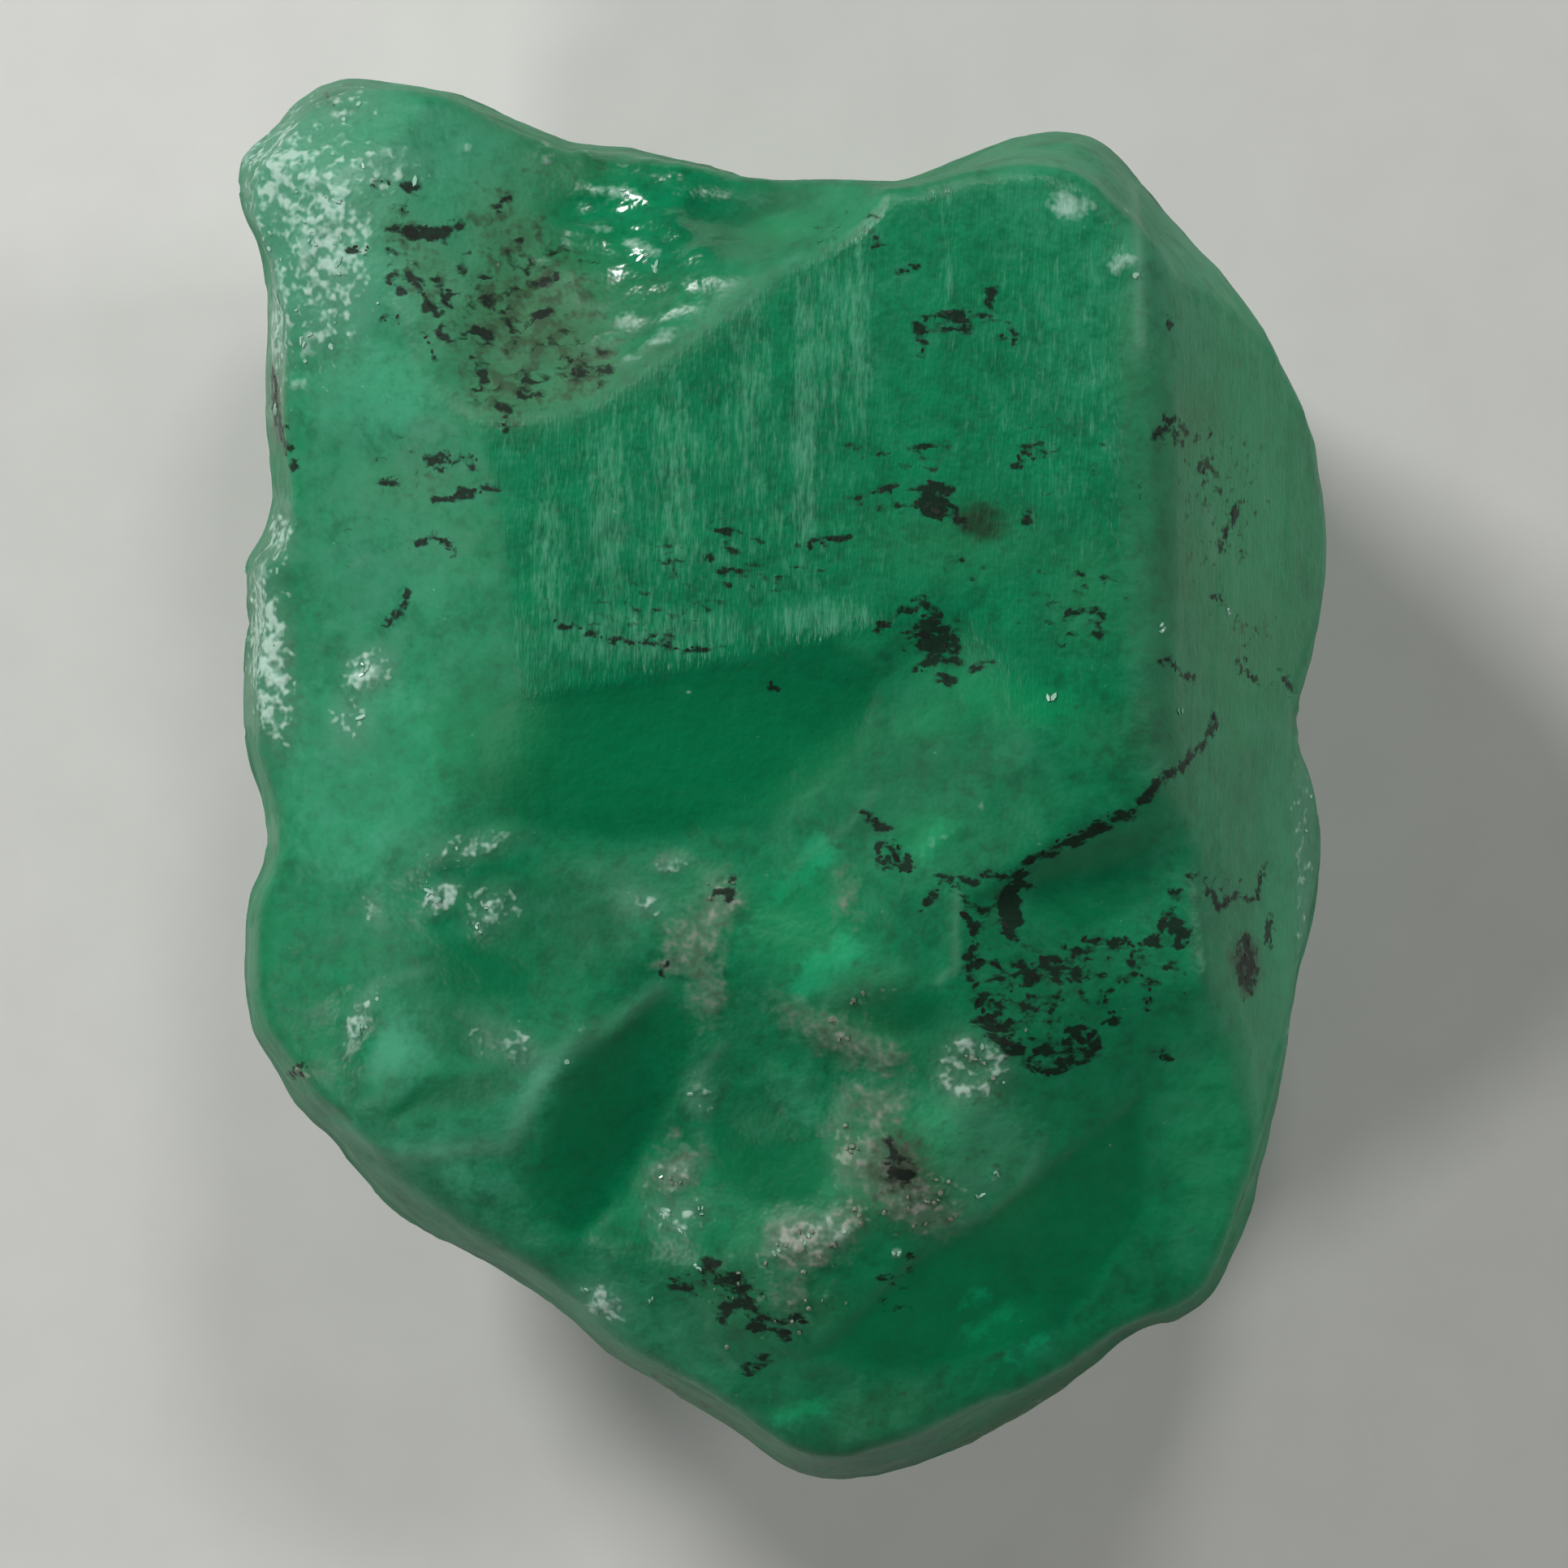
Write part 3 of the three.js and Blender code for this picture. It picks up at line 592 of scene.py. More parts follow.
# Rows of black mica flakes: (flake width, [corners of the row])
FLAKE_ROWS = [
    # the long crack on the right, and the blot below it
    (0.055, [(5.2, 0.82), (5.1, 0.55), (4.75, 0.2), (4.45, 0.0), (4.1, -0.36)]),
    (0.075, [(4.1, -0.36), (3.8, -0.49), (3.47, -0.66), (3.2, -0.78), (2.94, -0.89), (2.8, -1.1)]),
    (0.05, [(2.8, -1.1), (2.5, -1.07), (2.2, -1.17), (1.9, -1.16), (1.65, -1.5)]),
    (0.13, [(2.82, -1.2), (2.75, -1.45), (2.65, -1.7)]),
    (0.09, [(2.62, -1.35), (2.6, -1.6)]),
    # the dark net below the crack
    (0.075, [(2.15, -1.45), (2.25, -1.72), (2.2, -2.12), (2.34, -2.65), (2.58, -3.0), (2.78, -3.18)]),
    (0.1, [(2.35, -2.7), (2.58, -3.02), (2.85, -3.2)]),
    (0.1, [(2.78, -3.18), (3.2, -3.22), (3.47, -3.31), (3.8, -3.18), (3.74, -2.98), (3.47, -2.95)]),
    (0.085, [(3.3, -3.1), (3.6, -3.08)]),
    (0.07, [(2.94, -3.34), (3.14, -3.48), (3.41, -3.38)]),
    (0.07, [(2.2, -2.12), (2.68, -2.22), (3.0, -2.15), (3.34, -2.12), (3.67, -1.95), (3.97, -1.89)]),
    (0.06, [(3.97, -1.89), (4.27, -1.95), (4.53, -1.79), (4.63, -1.52)]),
    (0.075, [(2.44, -2.55), (2.78, -2.48), (3.0, -2.32), (2.84, -2.15)]),
    (0.06, [(3.8, -2.42), (3.87, -2.68), (4.0, -2.85)]),
    (0.055, [(4.17, -2.02), (4.17, -2.25), (4.4, -2.35), (4.37, -2.68)]),
    (0.08, [(4.7, -1.7), (4.78, -1.9)]),
    (0.045, [(5.1, -1.29), (5.26, -1.49), (5.46, -1.36), (5.73, -1.39), (5.83, -1.02)]),
    (0.08, [(5.58, -1.9), (5.62, -2.2), (5.64, -2.5)]),
    (0.05, [(5.93, -1.62), (5.88, -1.95)]),
    (0.05, [(4.53, -3.25), (4.62, -3.3)]),
    # between the horn and the front face
    (0.06, [(-4.9, 7.24), (-4.62, 7.2), (-4.39, 7.1)]),
    (0.07, [(-4.62, 6.9), (-4.55, 6.86)]),
    (0.1, [(-4.6, 6.62), (-4.25, 6.6), (-3.92, 6.68)]),
    (0.05, [(-5.2, 6.42), (-4.95, 6.38)]),
    (0.06, [(-4.72, 6.05), (-4.55, 5.88)]),
    (0.05, [(-4.8, 5.58), (-4.62, 5.55)]),
    (0.055, [(-4.5, 6.1), (-4.3, 5.85), (-4.16, 5.6)]),
    (0.06, [(-4.16, 6.05), (-3.99, 5.72)]),
    (0.05, [(-4.16, 5.42), (-4.05, 5.3)]),
    (0.05, [(-4.29, 5.4), (-4.16, 5.1)]),
    (0.055, [(-3.7, 5.45), (-3.52, 5.32)]),
    (0.07, [(-3.46, 6.92), (-3.33, 7.05)]),
    (0.08, [(-3.0, 5.98), (-2.7, 6.12)]),
    (0.055, [(-3.46, 5.65), (-3.3, 5.68)]),
    (0.055, [(-3.06, 5.55), (-2.8, 5.68)]),
    (0.05, [(-3.66, 4.95), (-3.58, 4.78)]),
    (0.06, [(-3.36, 4.48), (-3.33, 4.22)]),
    (0.05, [(-2.6, 5.1), (-2.45, 4.9), (-2.2, 4.95)]),
    # left shoulder
    (0.055, [(-4.25, 3.88), (-4.02, 3.96), (-3.76, 3.89), (-3.7, 3.78)]),
    (0.055, [(-4.16, 3.38), (-3.86, 3.46), (-3.46, 3.53)]),
    (0.045, [(-4.82, 3.58), (-4.62, 3.64)]),
    (0.045, [(-4.42, 2.86), (-4.25, 2.96), (-4.06, 2.9), (-3.99, 2.76)]),
    (0.05, [(-6.18, 5.0), (-6.12, 4.5), (-6.02, 4.1), (-5.88, 3.8)]),
    (0.05, [(-4.75, 1.95), (-4.58, 2.05), (-4.5, 2.3)]),
    # front face
    (0.07, [(1.58, 5.45), (1.68, 5.3), (1.64, 5.16)]),
    (0.06, [(1.84, 5.6), (2.13, 5.56), (2.28, 5.64)]),
    (0.05, [(2.58, 5.38), (2.76, 5.38), (2.76, 5.26)]),
    (0.05, [(2.5, 5.93), (2.48, 5.75)]),
    (0.045, [(1.36, 6.12), (1.62, 6.16)]),
    (0.1, [(1.55, 3.45), (1.63, 3.37), (1.73, 3.26), (1.85, 3.2), (2.0, 3.24), (2.16, 3.12)]),
    (0.09, [(1.77, 3.61), (1.89, 3.53), (1.95, 3.45), (1.85, 3.35)]),
    (0.045, [(1.12, 3.49), (1.3, 3.55)]),
    (0.05, [(0.3, 2.85), (0.78, 2.96)]),
    (0.04, [(-0.85, 3.05), (-0.5, 2.98)]),
    (0.055, [(2.77, 3.75), (2.87, 3.94), (2.96, 3.95)]),
    (0.05, [(2.89, 3.24), (2.89, 3.1)]),
    (0.1, [(1.12, 1.88), (1.26, 1.92)]),
    (0.1, [(1.46, 2.06), (1.57, 2.08), (1.67, 2.2)]),
    (0.11, [(1.73, 2.0), (1.87, 1.94)]),
    (0.1, [(1.51, 1.75), (1.73, 1.82)]),
    (0.1, [(1.75, 1.6), (1.93, 1.68)]),
    (0.07, [(1.57, 1.39), (1.73, 1.33)]),
    (0.07, [(1.89, 1.28), (1.99, 1.23)]),
    (0.075, [(2.3, 1.38), (2.42, 1.43)]),
    (0.05, [(2.05, 1.6), (2.09, 1.44)]),
    (0.035, [(-2.75, 1.95), (-2.2, 1.75), (-1.6, 1.65), (-0.85, 1.6)]),
    (0.05, [(-0.2, 1.2), (0.0, 1.1)]),
    # a healed pit with a dark rim
    (0.05, [(1.52, -1.05), (1.49, -0.88), (1.29, -0.71), (1.12, -0.71)]),
    (0.05, [(1.12, -0.71), (1.15, -0.88), (1.35, -1.05), (1.52, -1.05)]),
    (0.1, [(1.27, -0.82), (1.4, -0.95)]),
    # right growth face
    (0.08, [(4.61, 4.36), (4.46, 4.16)]),
    (0.1, [(5.04, 3.84), (5.09, 3.8)]),
    (0.06, [(4.55, 5.55), (4.62, 5.5)]),
    (0.05, [(5.53, 3.42), (5.42, 3.26), (5.32, 2.96), (5.29, 2.78)]),
    (0.05, [(5.18, 2.27), (5.29, 2.16)]),
    (0.05, [(4.51, 1.49), (4.67, 1.38), (4.92, 1.25)]),
    (0.05, [(5.53, 1.49), (5.72, 1.25)]),
    (0.04, [(6.09, 1.28), (6.22, 1.15)]),
    # lower centre
    (0.13, [(-0.92, -5.85), (-0.82, -5.8)]),
    (0.075, [(-0.62, -5.97), (-0.53, -5.9)]),
    (0.08, [(-0.71, -6.22), (-0.74, -6.46)]),
    (0.07, [(-0.56, -6.24), (-0.44, -6.17), (-0.44, -6.33)]),
    (0.1, [(-0.42, -6.57), (-0.26, -6.42)]),
    (0.09, [(-0.08, -6.57), (0.03, -6.67)]),
    (0.07, [(0.17, -6.46), (0.21, -6.49)]),
    (0.1, [(-0.42, -7.12), (-0.24, -7.0)]),
    (0.05, [(-1.35, -6.05), (-1.05, -6.15)]),
    (0.06, [(-0.8, -1.25), (-0.65, -1.35), (-0.6, -1.1)]),
    (0.05, [(-1.4, -2.1), (-1.45, -2.25)]),
    (0.07, [(1.25, -4.3), (1.38, -4.6)]),
    (0.05, [(1.5, -5.7), (1.58, -5.74)]),
    (0.05, [(0.95, -0.35), (1.25, -0.55)]),
    # lower left edge
    (0.07, [(-5.95, -3.5), (-5.8, -3.42)]),
]

# Painted glints, as bright pale chips: (x, y, width)
GLINTS = [
    (3.22, 1.06, 0.11), (4.75, 0.87, 0.05), (5.34, 2.08, 0.05), (4.21, 6.08, 0.07), (4.51, 1.84, 0.07),
    (-1.05, -5.81, 0.06), (-0.98, -5.14, 0.05), (-1.44, -5.22, 0.05), (-1.26, -5.38, 0.05),
    (-0.1, -5.65, 0.05), (0.27, -5.47, 0.05), (-1.62, -6.22, 0.05), (-4.2, -1.33, 0.09), (-3.65, -1.7, 0.07),
    (-5.1, -2.95, 0.08), (2.35, -4.96, 0.05), (2.55, -4.7, 0.05), (1.35, -5.66, 0.06), (-1.7, 6.35, 0.1),
    (-1.55, 6.2, 0.09), (-1.95, 7.1, 0.07), (-6.15, 4.5, 0.09), (-5.75, 5.35, 0.08), (-5.35, 7.0, 0.07),
    (-5.65, 6.5, 0.07), (-5.35, 6.2, 0.08), (-6.45, 7.6, 0.07), (-5.0, 1.35, 0.09),
]

# Painted highlights along ridges, and pale fine cracks: (width, amount, [corners])
PALE_CRACKS_AND_RIDGE_SHEEN = [
    (0.05, 0.25, [(-3.2, 4.3), (-2.65, 4.42), (-1.65, 4.95), (-0.65, 5.65), (0.2, 6.3)]),
    (0.07, 1.0, [(4.2, 7.2), (4.22, 6.1), (4.24, 5.2)]),
    (0.12, 0.75, [(-1.5, -2.45), (-2.05, -2.85), (-2.75, -3.3), (-3.05, -3.8), (-3.3, -4.35), (-4.6, -4.45)]),
    (0.1, 0.5, [(-4.6, -4.45), (-5.4, -4.2)]),
    (0.05, 0.8, [(2.08, -1.3), (2.05, -1.8), (2.08, -2.2), (1.85, -2.35)]),
    (0.06, 0.5, [(5.1, 3.3), (5.18, 2.7)]),
    # fine cracks round the lower hollows
    (0.06, 0.6, [(-0.75, -3.15), (-1.0, -3.5), (-1.12, -3.85), (-0.95, -4.0)]),
    (0.06, 0.55, [(-1.55, -4.7), (-1.2, -4.85), (-0.95, -4.6), (-1.0, -4.2)]),
    (0.06, 0.45, [(-0.95, -6.3), (-0.85, -6.8), (-0.6, -7.1)]),
    (0.06, 0.35, [(3.1, -4.3), (2.9, -4.8), (2.45, -5.2), (1.9, -5.35)]),
    (0.06, 0.4, [(-4.2, -2.2), (-4.9, -2.4), (-5.3, -2.75)]),
    (0.06, 0.4, [(-3.9, -2.75), (-3.2, -2.95), (-2.9, -3.3)]),
    (0.06, 0.35, [(-4.9, -4.7), (-4.3, -5.0), (-3.7, -5.5)]),
    (0.06, 0.35, [(0.1, -1.0), (0.75, -0.5), (1.1, -0.1)]),
]


# ---------------------------------------------------------------- the stone's skin


def even_skin():
    """The solid's own shape as a mesh of small even faces, in millimetres."""
    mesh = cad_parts["emerald"].data.copy()
    mesh.transform(Matrix.Scale(1 / MM, 4))
    holder = put_in_scene("even_skin", mesh)
    remesh = holder.modifiers.new("small faces", "REMESH")
    remesh.mode = "VOXEL"
    remesh.voxel_size = SKIN_CELL
    shape = holder.evaluated_get(bpy.context.evaluated_depsgraph_get())
    skin = bpy.data.meshes.new_from_object(shape)
    bpy.data.objects.remove(holder)
    bpy.data.meshes.remove(mesh)
    return skin


def corners_of(mesh):
    points = np.empty(len(mesh.vertices) * 3)
    mesh.vertices.foreach_get("co", points)
    return points.reshape(-1, 3)


def normals_of(mesh):
    normals = np.empty(len(mesh.vertices) * 3)
    mesh.vertex_normals.foreach_get("vector", normals)
    return normals.reshape(-1, 3)


def relaxed(mesh, points, rounds):
    """The points after each has moved half way to the middle of its neighbours, so many times."""
    ends = np.empty(len(mesh.edges) * 2, dtype=np.int64)
    mesh.edges.foreach_get("vertices", ends)
    first, second = ends.reshape(-1, 2).T
    count = len(points)
    neighbours = np.bincount(first, minlength=count) + np.bincount(second, minlength=count)
    for _ in range(rounds):
        middle = np.empty_like(points)
        for axis in range(3):
            middle[:, axis] = np.bincount(first, points[second, axis], count)
            middle[:, axis] += np.bincount(second, points[first, axis], count)
        points = (points + middle / neighbours[:, None]) / 2
    return points


def put_points(mesh, points):
    mesh.vertices.foreach_set("co", points.ravel())
    mesh.update()


def front_share(points, normals):
    """1 on the front of the stone, 0 on its sides and back."""
    return ease(points[:, 2], FRONT_FROM, FRONT_FULL) * ease(normals[:, 2], 0.0, 0.2)


def finishes(points, normals):
    """How far each finish covers each point of the skin, from 0 to about 1."""
    front = front_share(points, normals)
    hidden = 1 - front
    broad = swells(points, 3.2, 1)
    fine = swells(points, 0.8, 2)
    brow = ease(points[:, 2], *BROW)
    # The front growth face is level. The two beside it lean 60 degrees, so their normals have X 0.866.
    flat_front = ease(points[:, 2], TOP - 0.12, TOP - 0.04) * ease(normals[:, 2], 0.95, 0.99)
    side_face = ease(np.abs(normals[:, 0]), 0.84, 0.865) * (np.abs(normals[:, 1]) < 0.08)
    growth = np.maximum(flat_front, side_face)
    flake_halos = [(1.3 * width + 0.03, 0.8, row) for width, row in FLAKE_ROWS]
    return {
        "growth": growth,
        "dull": np.maximum(hidden, np.maximum(patches(points, DULLED), strokes(points, [DULL_SEAM]))),
        "deep": front * plates(points, DEEP_FACES),
        "lit": front * plates(points, LIT_FACES),
        "pale": front * plates(points, PALE_FACES),
        "rock": front * plates(points, ROCK_FACES),
        "frost": front * patches(points, FROSTED) + hidden * 0.6 * ease(broad + 0.5 * fine, 0.25, 0.6),
        "milk": front * patches(points, MILKY_AND_SHEEN) + hidden * 0.4 * ease(broad, -0.1, 0.5),
        "stain": front * patches(points, STAINED) + hidden * 0.6 * ease(-broad + 0.4 * fine, 0.25, 0.6),
        "crust": front * patches(points, CRUSTED) + hidden * 0.7 * ease(fine - 0.4 * broad, 0.4, 0.6),
        "wet": front * patches(points, WET),
        "veil": front * patches(points, VEILS_AND_GLINTS),
        "lines": growth * (front * patches(points, LINED_AND_SHEEN) + hidden * 0.5),
        "shade": brow * patches(points, SHADED) + hidden * 0.5 * ease(-broad, -0.3, 0.3),
        "glow": front * patches(points, GLOWING),
        "smudge": brow * patches(points, SMUDGES_AND_SHADE),
        "halo": front * np.maximum(strokes(points, flake_halos), patches(points, INKED)),
        "edge": front * strokes(points, PALE_CRACKS_AND_RIDGE_SHEEN),
    }


# Shell breaks, each set on the back of the last: (rise and size in mm, seed)
SHELL_BREAKS = [(0.07, 1.5, 5), (0.035, 0.7, 9), (0.015, 0.36, 10)]


def relief(points, cover):
    """How far each point of the skin is raised, in millimetres."""
    broken = 1 - cover["growth"]
    rough = np.clip(cover["frost"] + 0.35 * cover["crust"] + 0.15 * ease(cover["rock"], 0.4, 0.6), 0, 1)
    steps = np.floor(4.0 * swells(points * (1, 0.06, 1), 1.7, 3) + 0.5) / 4.0
    clean = ease(cover["deep"], 0.35, 0.65)
    chipped = broken * (1 - 0.7 * clean)
    height = broken * 0.04 * swells(points, 2.1, 4)
    for rise, size, seed in SHELL_BREAKS:
        height += chipped * rise * (shells(points, size, seed) - 0.25)
    height += chipped * 0.012 * swells(points, 0.45, 6)
    height += cover["growth"] * 0.03 * steps
    height -= 0.02 * clean
    height += 0.02 * ease(cover["pale"], 0.3, 0.7) + 0.02 * ease(cover["rock"], 0.3, 0.7)
    height += cover["wet"] * 0.11 * (shells(points * (0.6, 1.3, 1), 0.5, 7) - 0.3)
    height += rough * 0.05 * (shells(points, 0.26, 8) - 0.2)
    height += cover["crust"] * 0.03
    height += cover["veil"] * 0.04
    height += cover["edge"] * 0.02
    return height


def carve_stone():
    """The stone as an object, in metres, with its finishes stored at each point of its skin."""
    mesh = even_skin()
    points = relaxed(mesh, corners_of(mesh), FRESH_ROUNDS)
    put_points(mesh, points)
    worn = front_share(points, normals_of(mesh)) * patches(points, WORN)
    points = points + worn[:, None] * (relaxed(mesh, points, WORN_ROUNDS) - points)
    put_points(mesh, points)
    normals = normals_of(mesh)
    cover = finishes(points, normals)
    points = points + normals * relief(points, cover)[:, None]
    points[:, 2] = np.maximum(points[:, 2], 0)
    low, high = np.array(STONE_LOW) / MM, np.array(STONE_HIGH) / MM
    put_points(mesh, np.clip(points, low, high) * MM)
    for names in LAYERS:
        amounts = np.stack([cover[name] for name in names], axis=1).astype(np.float32)
        layer = mesh.attributes.new("_".join(names), "FLOAT_VECTOR", "POINT")
        layer.data.foreach_set("vector", amounts.ravel())
    mesh.polygons.foreach_set("use_smooth", [True] * len(mesh.polygons))
    return put_in_scene("emerald_stone", mesh)


# ---------------------------------------------------------------- small pieces on the stone


SMALLEST = 0.02  # mm, the least width of a strewn splinter or grain


class Pile:
    """Many small uneven plates on the front of the stone, gathered into one mesh, in millimetres."""

    def __init__(self, skin, seed):
        self.tree = BVHTree.FromPolygons(
            [vertex.co / MM for vertex in skin.vertices],
            [tuple(face.vertices) for face in skin.polygons],
        )
        self.dice = random.Random(seed)
        self.points = []
        self.faces = []

    def lay(self, x, y, width, length, turn, tilt, thick, rise):
        """One splinter of five to seven corners, lying on the skin at that point."""
        above = Vector((x, y, 2 * TOP))
        place, normal, _, _ = self.tree.ray_cast(above, Vector((0, 0, -1)))
        if place is None:
            return
        corners = self.dice.randint(5, 7)
        reaches = [self.dice.uniform(0.65, 1.15) for _ in range(corners)]
        across = Vector((math.cos(turn), math.sin(turn), 0))
        across = (across - normal * across.dot(normal)).normalized()
        along = normal.cross(across)
        lean = Matrix.Rotation(tilt, 3, across)
        first = len(self.points)
        for level in (rise - thick, rise):
            for i, reach in enumerate(reaches):
                angle = math.tau * i / corners
                side = across * (math.cos(angle) * length * reach / 2)
                side += along * (math.sin(angle) * width * reach / 2)
                self.points.append(place + lean @ (side + normal * level))
        ring = range(corners)
        self.faces.append([first + i for i in reversed(ring)])
        self.faces.append([first + corners + i for i in ring])
        for i in ring:
            j = (i + 1) % corners
            self.faces.append([first + i, first + j, first + corners + j, first + corners + i])

    def strew(self, places, per_mm2, spread, largest, longest, thick, rise):
        """Splinters thrown over each oval patch, thickest in its middle."""
        for x, y, half_width, half_height, turn, amount in places:
            c, s = math.cos(math.radians(turn)), math.sin(math.radians(turn))
            for _ in range(round(per_mm2 * half_width * half_height * amount)):
                u = self.dice.gauss(0, spread) * half_width
                v = self.dice.gauss(0, spread) * half_height
                width = self.dice.uniform(SMALLEST, largest)
                length = width * self.dice.uniform(1, longest)
                heading = self.dice.uniform(0, math.pi)
                tilt = self.dice.gauss(0, 0.5)
                self.lay(x + u * c - v * s, y + u * s + v * c, width, length, heading, tilt, thick, rise)

    def finish(self, name, material):
        """The pile as one object riding on the stone."""
        mesh = bpy.data.meshes.new(name)
        mesh.from_pydata([point * MM for point in self.points], [], self.faces)
        mesh.materials.append(material)
        piece = put_in_scene(name, mesh)
        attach(piece, "root")


def mica_flakes(skin):
    """Thin dark plates strung along their rows."""
    pile = Pile(skin, 41)
    dice = pile.dice
    for width, row in FLAKE_ROWS:
        for (x0, y0), (x1, y1) in zip(row, row[1:]):
            span = math.hypot(x1 - x0, y1 - y0)
            heading = math.atan2(y1 - y0, x1 - x0)
            count = max(1, round(span / (2.0 * width)))
            for i in range(count):
                t = (i + dice.uniform(0.2, 0.8)) / count
                x = x0 + (x1 - x0) * t + dice.gauss(0, 0.45 * width)
                y = y0 + (y1 - y0) * t + dice.gauss(0, 0.45 * width)
                size = width * dice.uniform(0.4, 1.2)
                turn = heading + dice.gauss(0, 0.6)
                pile.lay(x, y, size * 0.8, size * 1.4, turn, dice.gauss(0, 0.1), thick=0.02, rise=0.004)
    pile.finish("mica_flakes", black_mica())


def glint_and_bruise_chips(skin):
    """Bright splinters: three at each named glint, as painted glints, and those scattered over the frosted
    bruises.
    """
    pile = Pile(skin, 42)
    dice = pile.dice
    for x, y, width in GLINTS:
        for _ in range(3):
            u, v = dice.gauss(0, 0.4) * width, dice.gauss(0, 0.4) * width
            length = width * dice.uniform(0.8, 1.6)
            turn, tilt = dice.uniform(0, math.pi), dice.gauss(0, 0.3)
            pile.lay(x + u, y + v, width * 0.5, length, turn, tilt, thick=0.04, rise=0.02)
    pile.strew(FROSTED, 16, spread=0.5, largest=0.07, longest=2.2, thick=0.03, rise=0.015)
    pile.finish("glint_and_bruise_chips", glint_pale_crushed_beryl())


def crust_grains(skin):
    """Grains of the host rock on the crusted patches."""
    pile = Pile(skin, 43)
    pile.strew(CRUSTED, 60, spread=0.45, largest=0.06, longest=1.5, thick=0.05, rise=0.03)
    pile.finish("crust_grains", feldspar_crust())


# ---------------------------------------------------------------- materials

BERYL_IOR = 1.575


